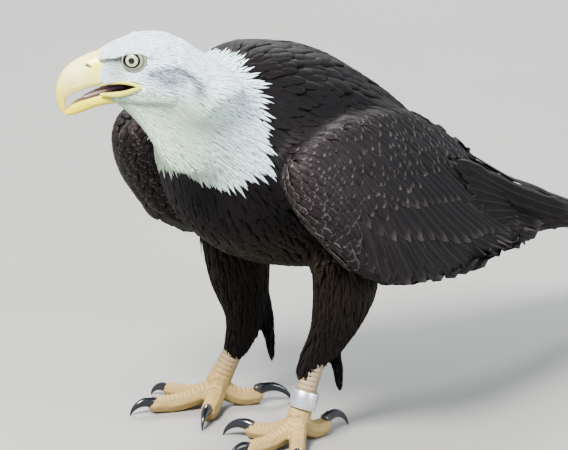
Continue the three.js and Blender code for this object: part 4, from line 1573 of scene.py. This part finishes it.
def primaries(name):
    """The longest feathers, folded into the wing's tip: five along its top and eight down its side."""
    side = SIDES[name]
    on_top, beside, stations = 5, 8, 16
    sky = 400.0  # a height well over the wings, from which their tops are felt for
    t = np.linspace(0, 1, stations)
    lines = []
    for k in range(on_top):
        x = blend(-172.0 - 5 * k, -430.0 + 20 * k, t)
        y = side * blend(46.0 - 5 * k, 33.0 - 2.5 * k, t)
        drop = np.array([cast(skin, (a, b, sky), (0, 0, -1)) for a, b in zip(x, y)])
        reached = (x > -412) & (drop < sky - 10)
        curve = np.polyfit(x[reached], sky - drop[reached], 3)
        z = np.polyval(curve, x) + blend(-4.0, 0.8 + 0.6 * k, ramp(0.04, 0.2, t))
        lines.append(np.stack([x, y, z], 1))
    for k in range(beside):
        x = blend(-196.0 + 4 * k, -434.0 + 12 * k, t)
        high = blend(-0.72 + 0.17 * k, -0.25 + 0.06 * k, t)
        mid, half = wing_heights(x)
        out = np.interp(x, [-420, -250, -130, 0], [60, 90, 120, 140])
        place = np.stack([x + ahead(name, x), side * out, mid + half * high], 1)
        on_skin = np.abs(skin.nearest(place)[0][:, 1])
        reached = x > -405
        curve = np.polyfit(x[reached], on_skin[reached], 2)
        place[:, 1] = side * (np.polyval(curve, x) + blend(-4.0, 0.8 + 0.5 * k, ramp(0.3, 0.62, t)))
        lines.append(place)
    count = len(lines)
    lines = np.array(lines)
    way = unit(np.gradient(lines, axis=1))
    outward = np.array([[0, 0.15 * side, 1.0]] * on_top + [[0, side, 0.35]] * beside)
    up = on_plane(np.broadcast_to(outward[:, None], way.shape), way)
    shape_at = stops(stations)
    lines, up, way = (
        np.stack([[np.interp(shape_at, t, row[:, j]) for j in range(3)] for row in a]).transpose(0, 2, 1)
        for a in (lines, up, way)
    )
    roots, laid = lines[:, 0], (lines, unit(up), unit(np.cross(up, way)))
    tones = tones_for(np.random.default_rng(7), count, 0.4)
    plumage(f"coat_primaries_{name}", roots, laid, np.full(count, 9.5), FLIGHT, tones,
            wing_colour(roots) * 0.7, WING_LOOK, thick=0.5, arch=0.1)


for name in SIDES:
    wing_tracts(name)
    wing_rows(name)
    primaries(name)

# ------------------------------------------------------------------ tail

TAIL_ROOT, TAIL_TIP = (-205, 176), (-458, 80)


def tail_fan():
    """Twelve broad feathers, closed over each other, with the middle pair on top."""
    count = 12
    t = np.linspace(0, 1, 14)[:, None]
    slope = unit([TAIL_TIP[0] - TAIL_ROOT[0], 0, TAIL_TIP[1] - TAIL_ROOT[1]])
    up = np.cross([0, 1.0, 0], slope)
    up = up * np.sign(up[2])
    lines, sides = [], []
    middle_place = (count - 1) / 2
    for k in range(count):
        place = k - middle_place
        spread = place / middle_place
        way = unit(slope + np.array([0, 0.118 * spread, 0]))
        line = np.array([-225, 3.0 * place, 168.5]) + way * (246 - 10 * spread**2) * t
        line = line + up * (2.6 - 4.2 * abs(spread) - 1.2 * t + 0.4 * np.sin(t * 3))
        lines.append(line)
        sides.append(np.broadcast_to(np.cross(up, way), line.shape))
    lines, sides = np.array(lines), np.array(sides)
    laid = (lines, np.broadcast_to(up, lines.shape), sides)
    tones = tones_for(np.random.default_rng(6), count, 0.2)
    plumage("coat_tail", lines[:, 0], laid, np.full(count, 13.5), FLIGHT, tones, vent_colour(lines[:, 0]),
            TAIL_LOOK, thick=0.6, arch=0.08)


def vent_colour(points):
    return np.broadcast_to(VENT, points.shape)


def tail_lie(points):
    return np.broadcast_to(unit([-0.935, 0, -0.355]), points.shape)


tail_fan()
on_tail = (region == "tail") & (skin.points[:, 0] > -330)
tract("coat_tail_coverts", on_tail, 12000, vent_colour, TAIL_LOOK, ROUND, stations=8,
      spacing=8.0, length=46, half=7.0, rise=1.4, lift=0.2, pale=0.2, lie=tail_lie)

# ------------------------------------------------------------------ floor, light and camera

FLOOR = 6e3  # half of its width
corners = [(-FLOOR, -FLOOR, 0), (FLOOR, -FLOOR, 0), (FLOOR, FLOOR, 0), (-FLOOR, FLOOR, 0)]
floor = quad_mesh("floor", corners, [(0, 1, 2, 3)])
grain = Shades("floor", roughness=0.75)
mottle = grain.noise(grain.place(), 3.0, 3.0)
floor.data.materials.append(grain.finish(grain.mix(mottle, (0.29, 0.29, 0.283), (0.32, 0.32, 0.313))))

world = bpy.data.worlds.new("studio")
world.use_nodes = True
background = world.node_tree.nodes["Background"]
background.inputs["Color"].default_value = (0.86, 0.92, 1.0, 1)
background.inputs["Strength"].default_value = 0.9
bpy.context.scene.world = world
bpy.context.scene.view_settings.look = "AgX - Medium High Contrast"


def softbox(name, where, aim, size, power, colour):
    data = bpy.data.lights.new(name, "AREA")
    data.shape = "DISK"
    data.size = size
    data.energy = power
    data.color = colour
    ob = bpy.data.objects.new(name, data)
    ob.location = where
    ob.rotation_euler = (Vector(aim) - Vector(where)).to_track_quat("-Z", "Y").to_euler()
    bpy.context.scene.collection.objects.link(ob)


TARGET = Vector(((-28.6 + SHIFT[0]) / 1000, SHIFT[1] / 1000, 0.185))
softbox("key", (1.9, 0.5, 2.4), TARGET, 1.0, 215, (1.0, 0.96, 0.90))
softbox("fill", (-0.6, 2.6, 1.2), TARGET, 1.6, 48, (0.90, 0.95, 1.0))
softbox("back", (-1.6, -1.6, 1.9), TARGET, 1.2, 65, (1.0, 0.98, 0.95))

AZIMUTH, ELEVATION, DISTANCE = math.radians(135), math.radians(18), 12.0
level = math.cos(ELEVATION)
away = Vector((math.sin(AZIMUTH) * level, -math.cos(AZIMUTH) * level, math.sin(ELEVATION)))
lens = bpy.data.cameras.new("camera")
lens.lens, lens.sensor_width, lens.clip_end = 864, 36, 40
camera = bpy.data.objects.new("camera", lens)
camera.location = TARGET + away * DISTANCE
camera.rotation_euler = (-away).to_track_quat("-Z", "Y").to_euler()
bpy.context.scene.collection.objects.link(camera)
bpy.context.scene.camera = camera
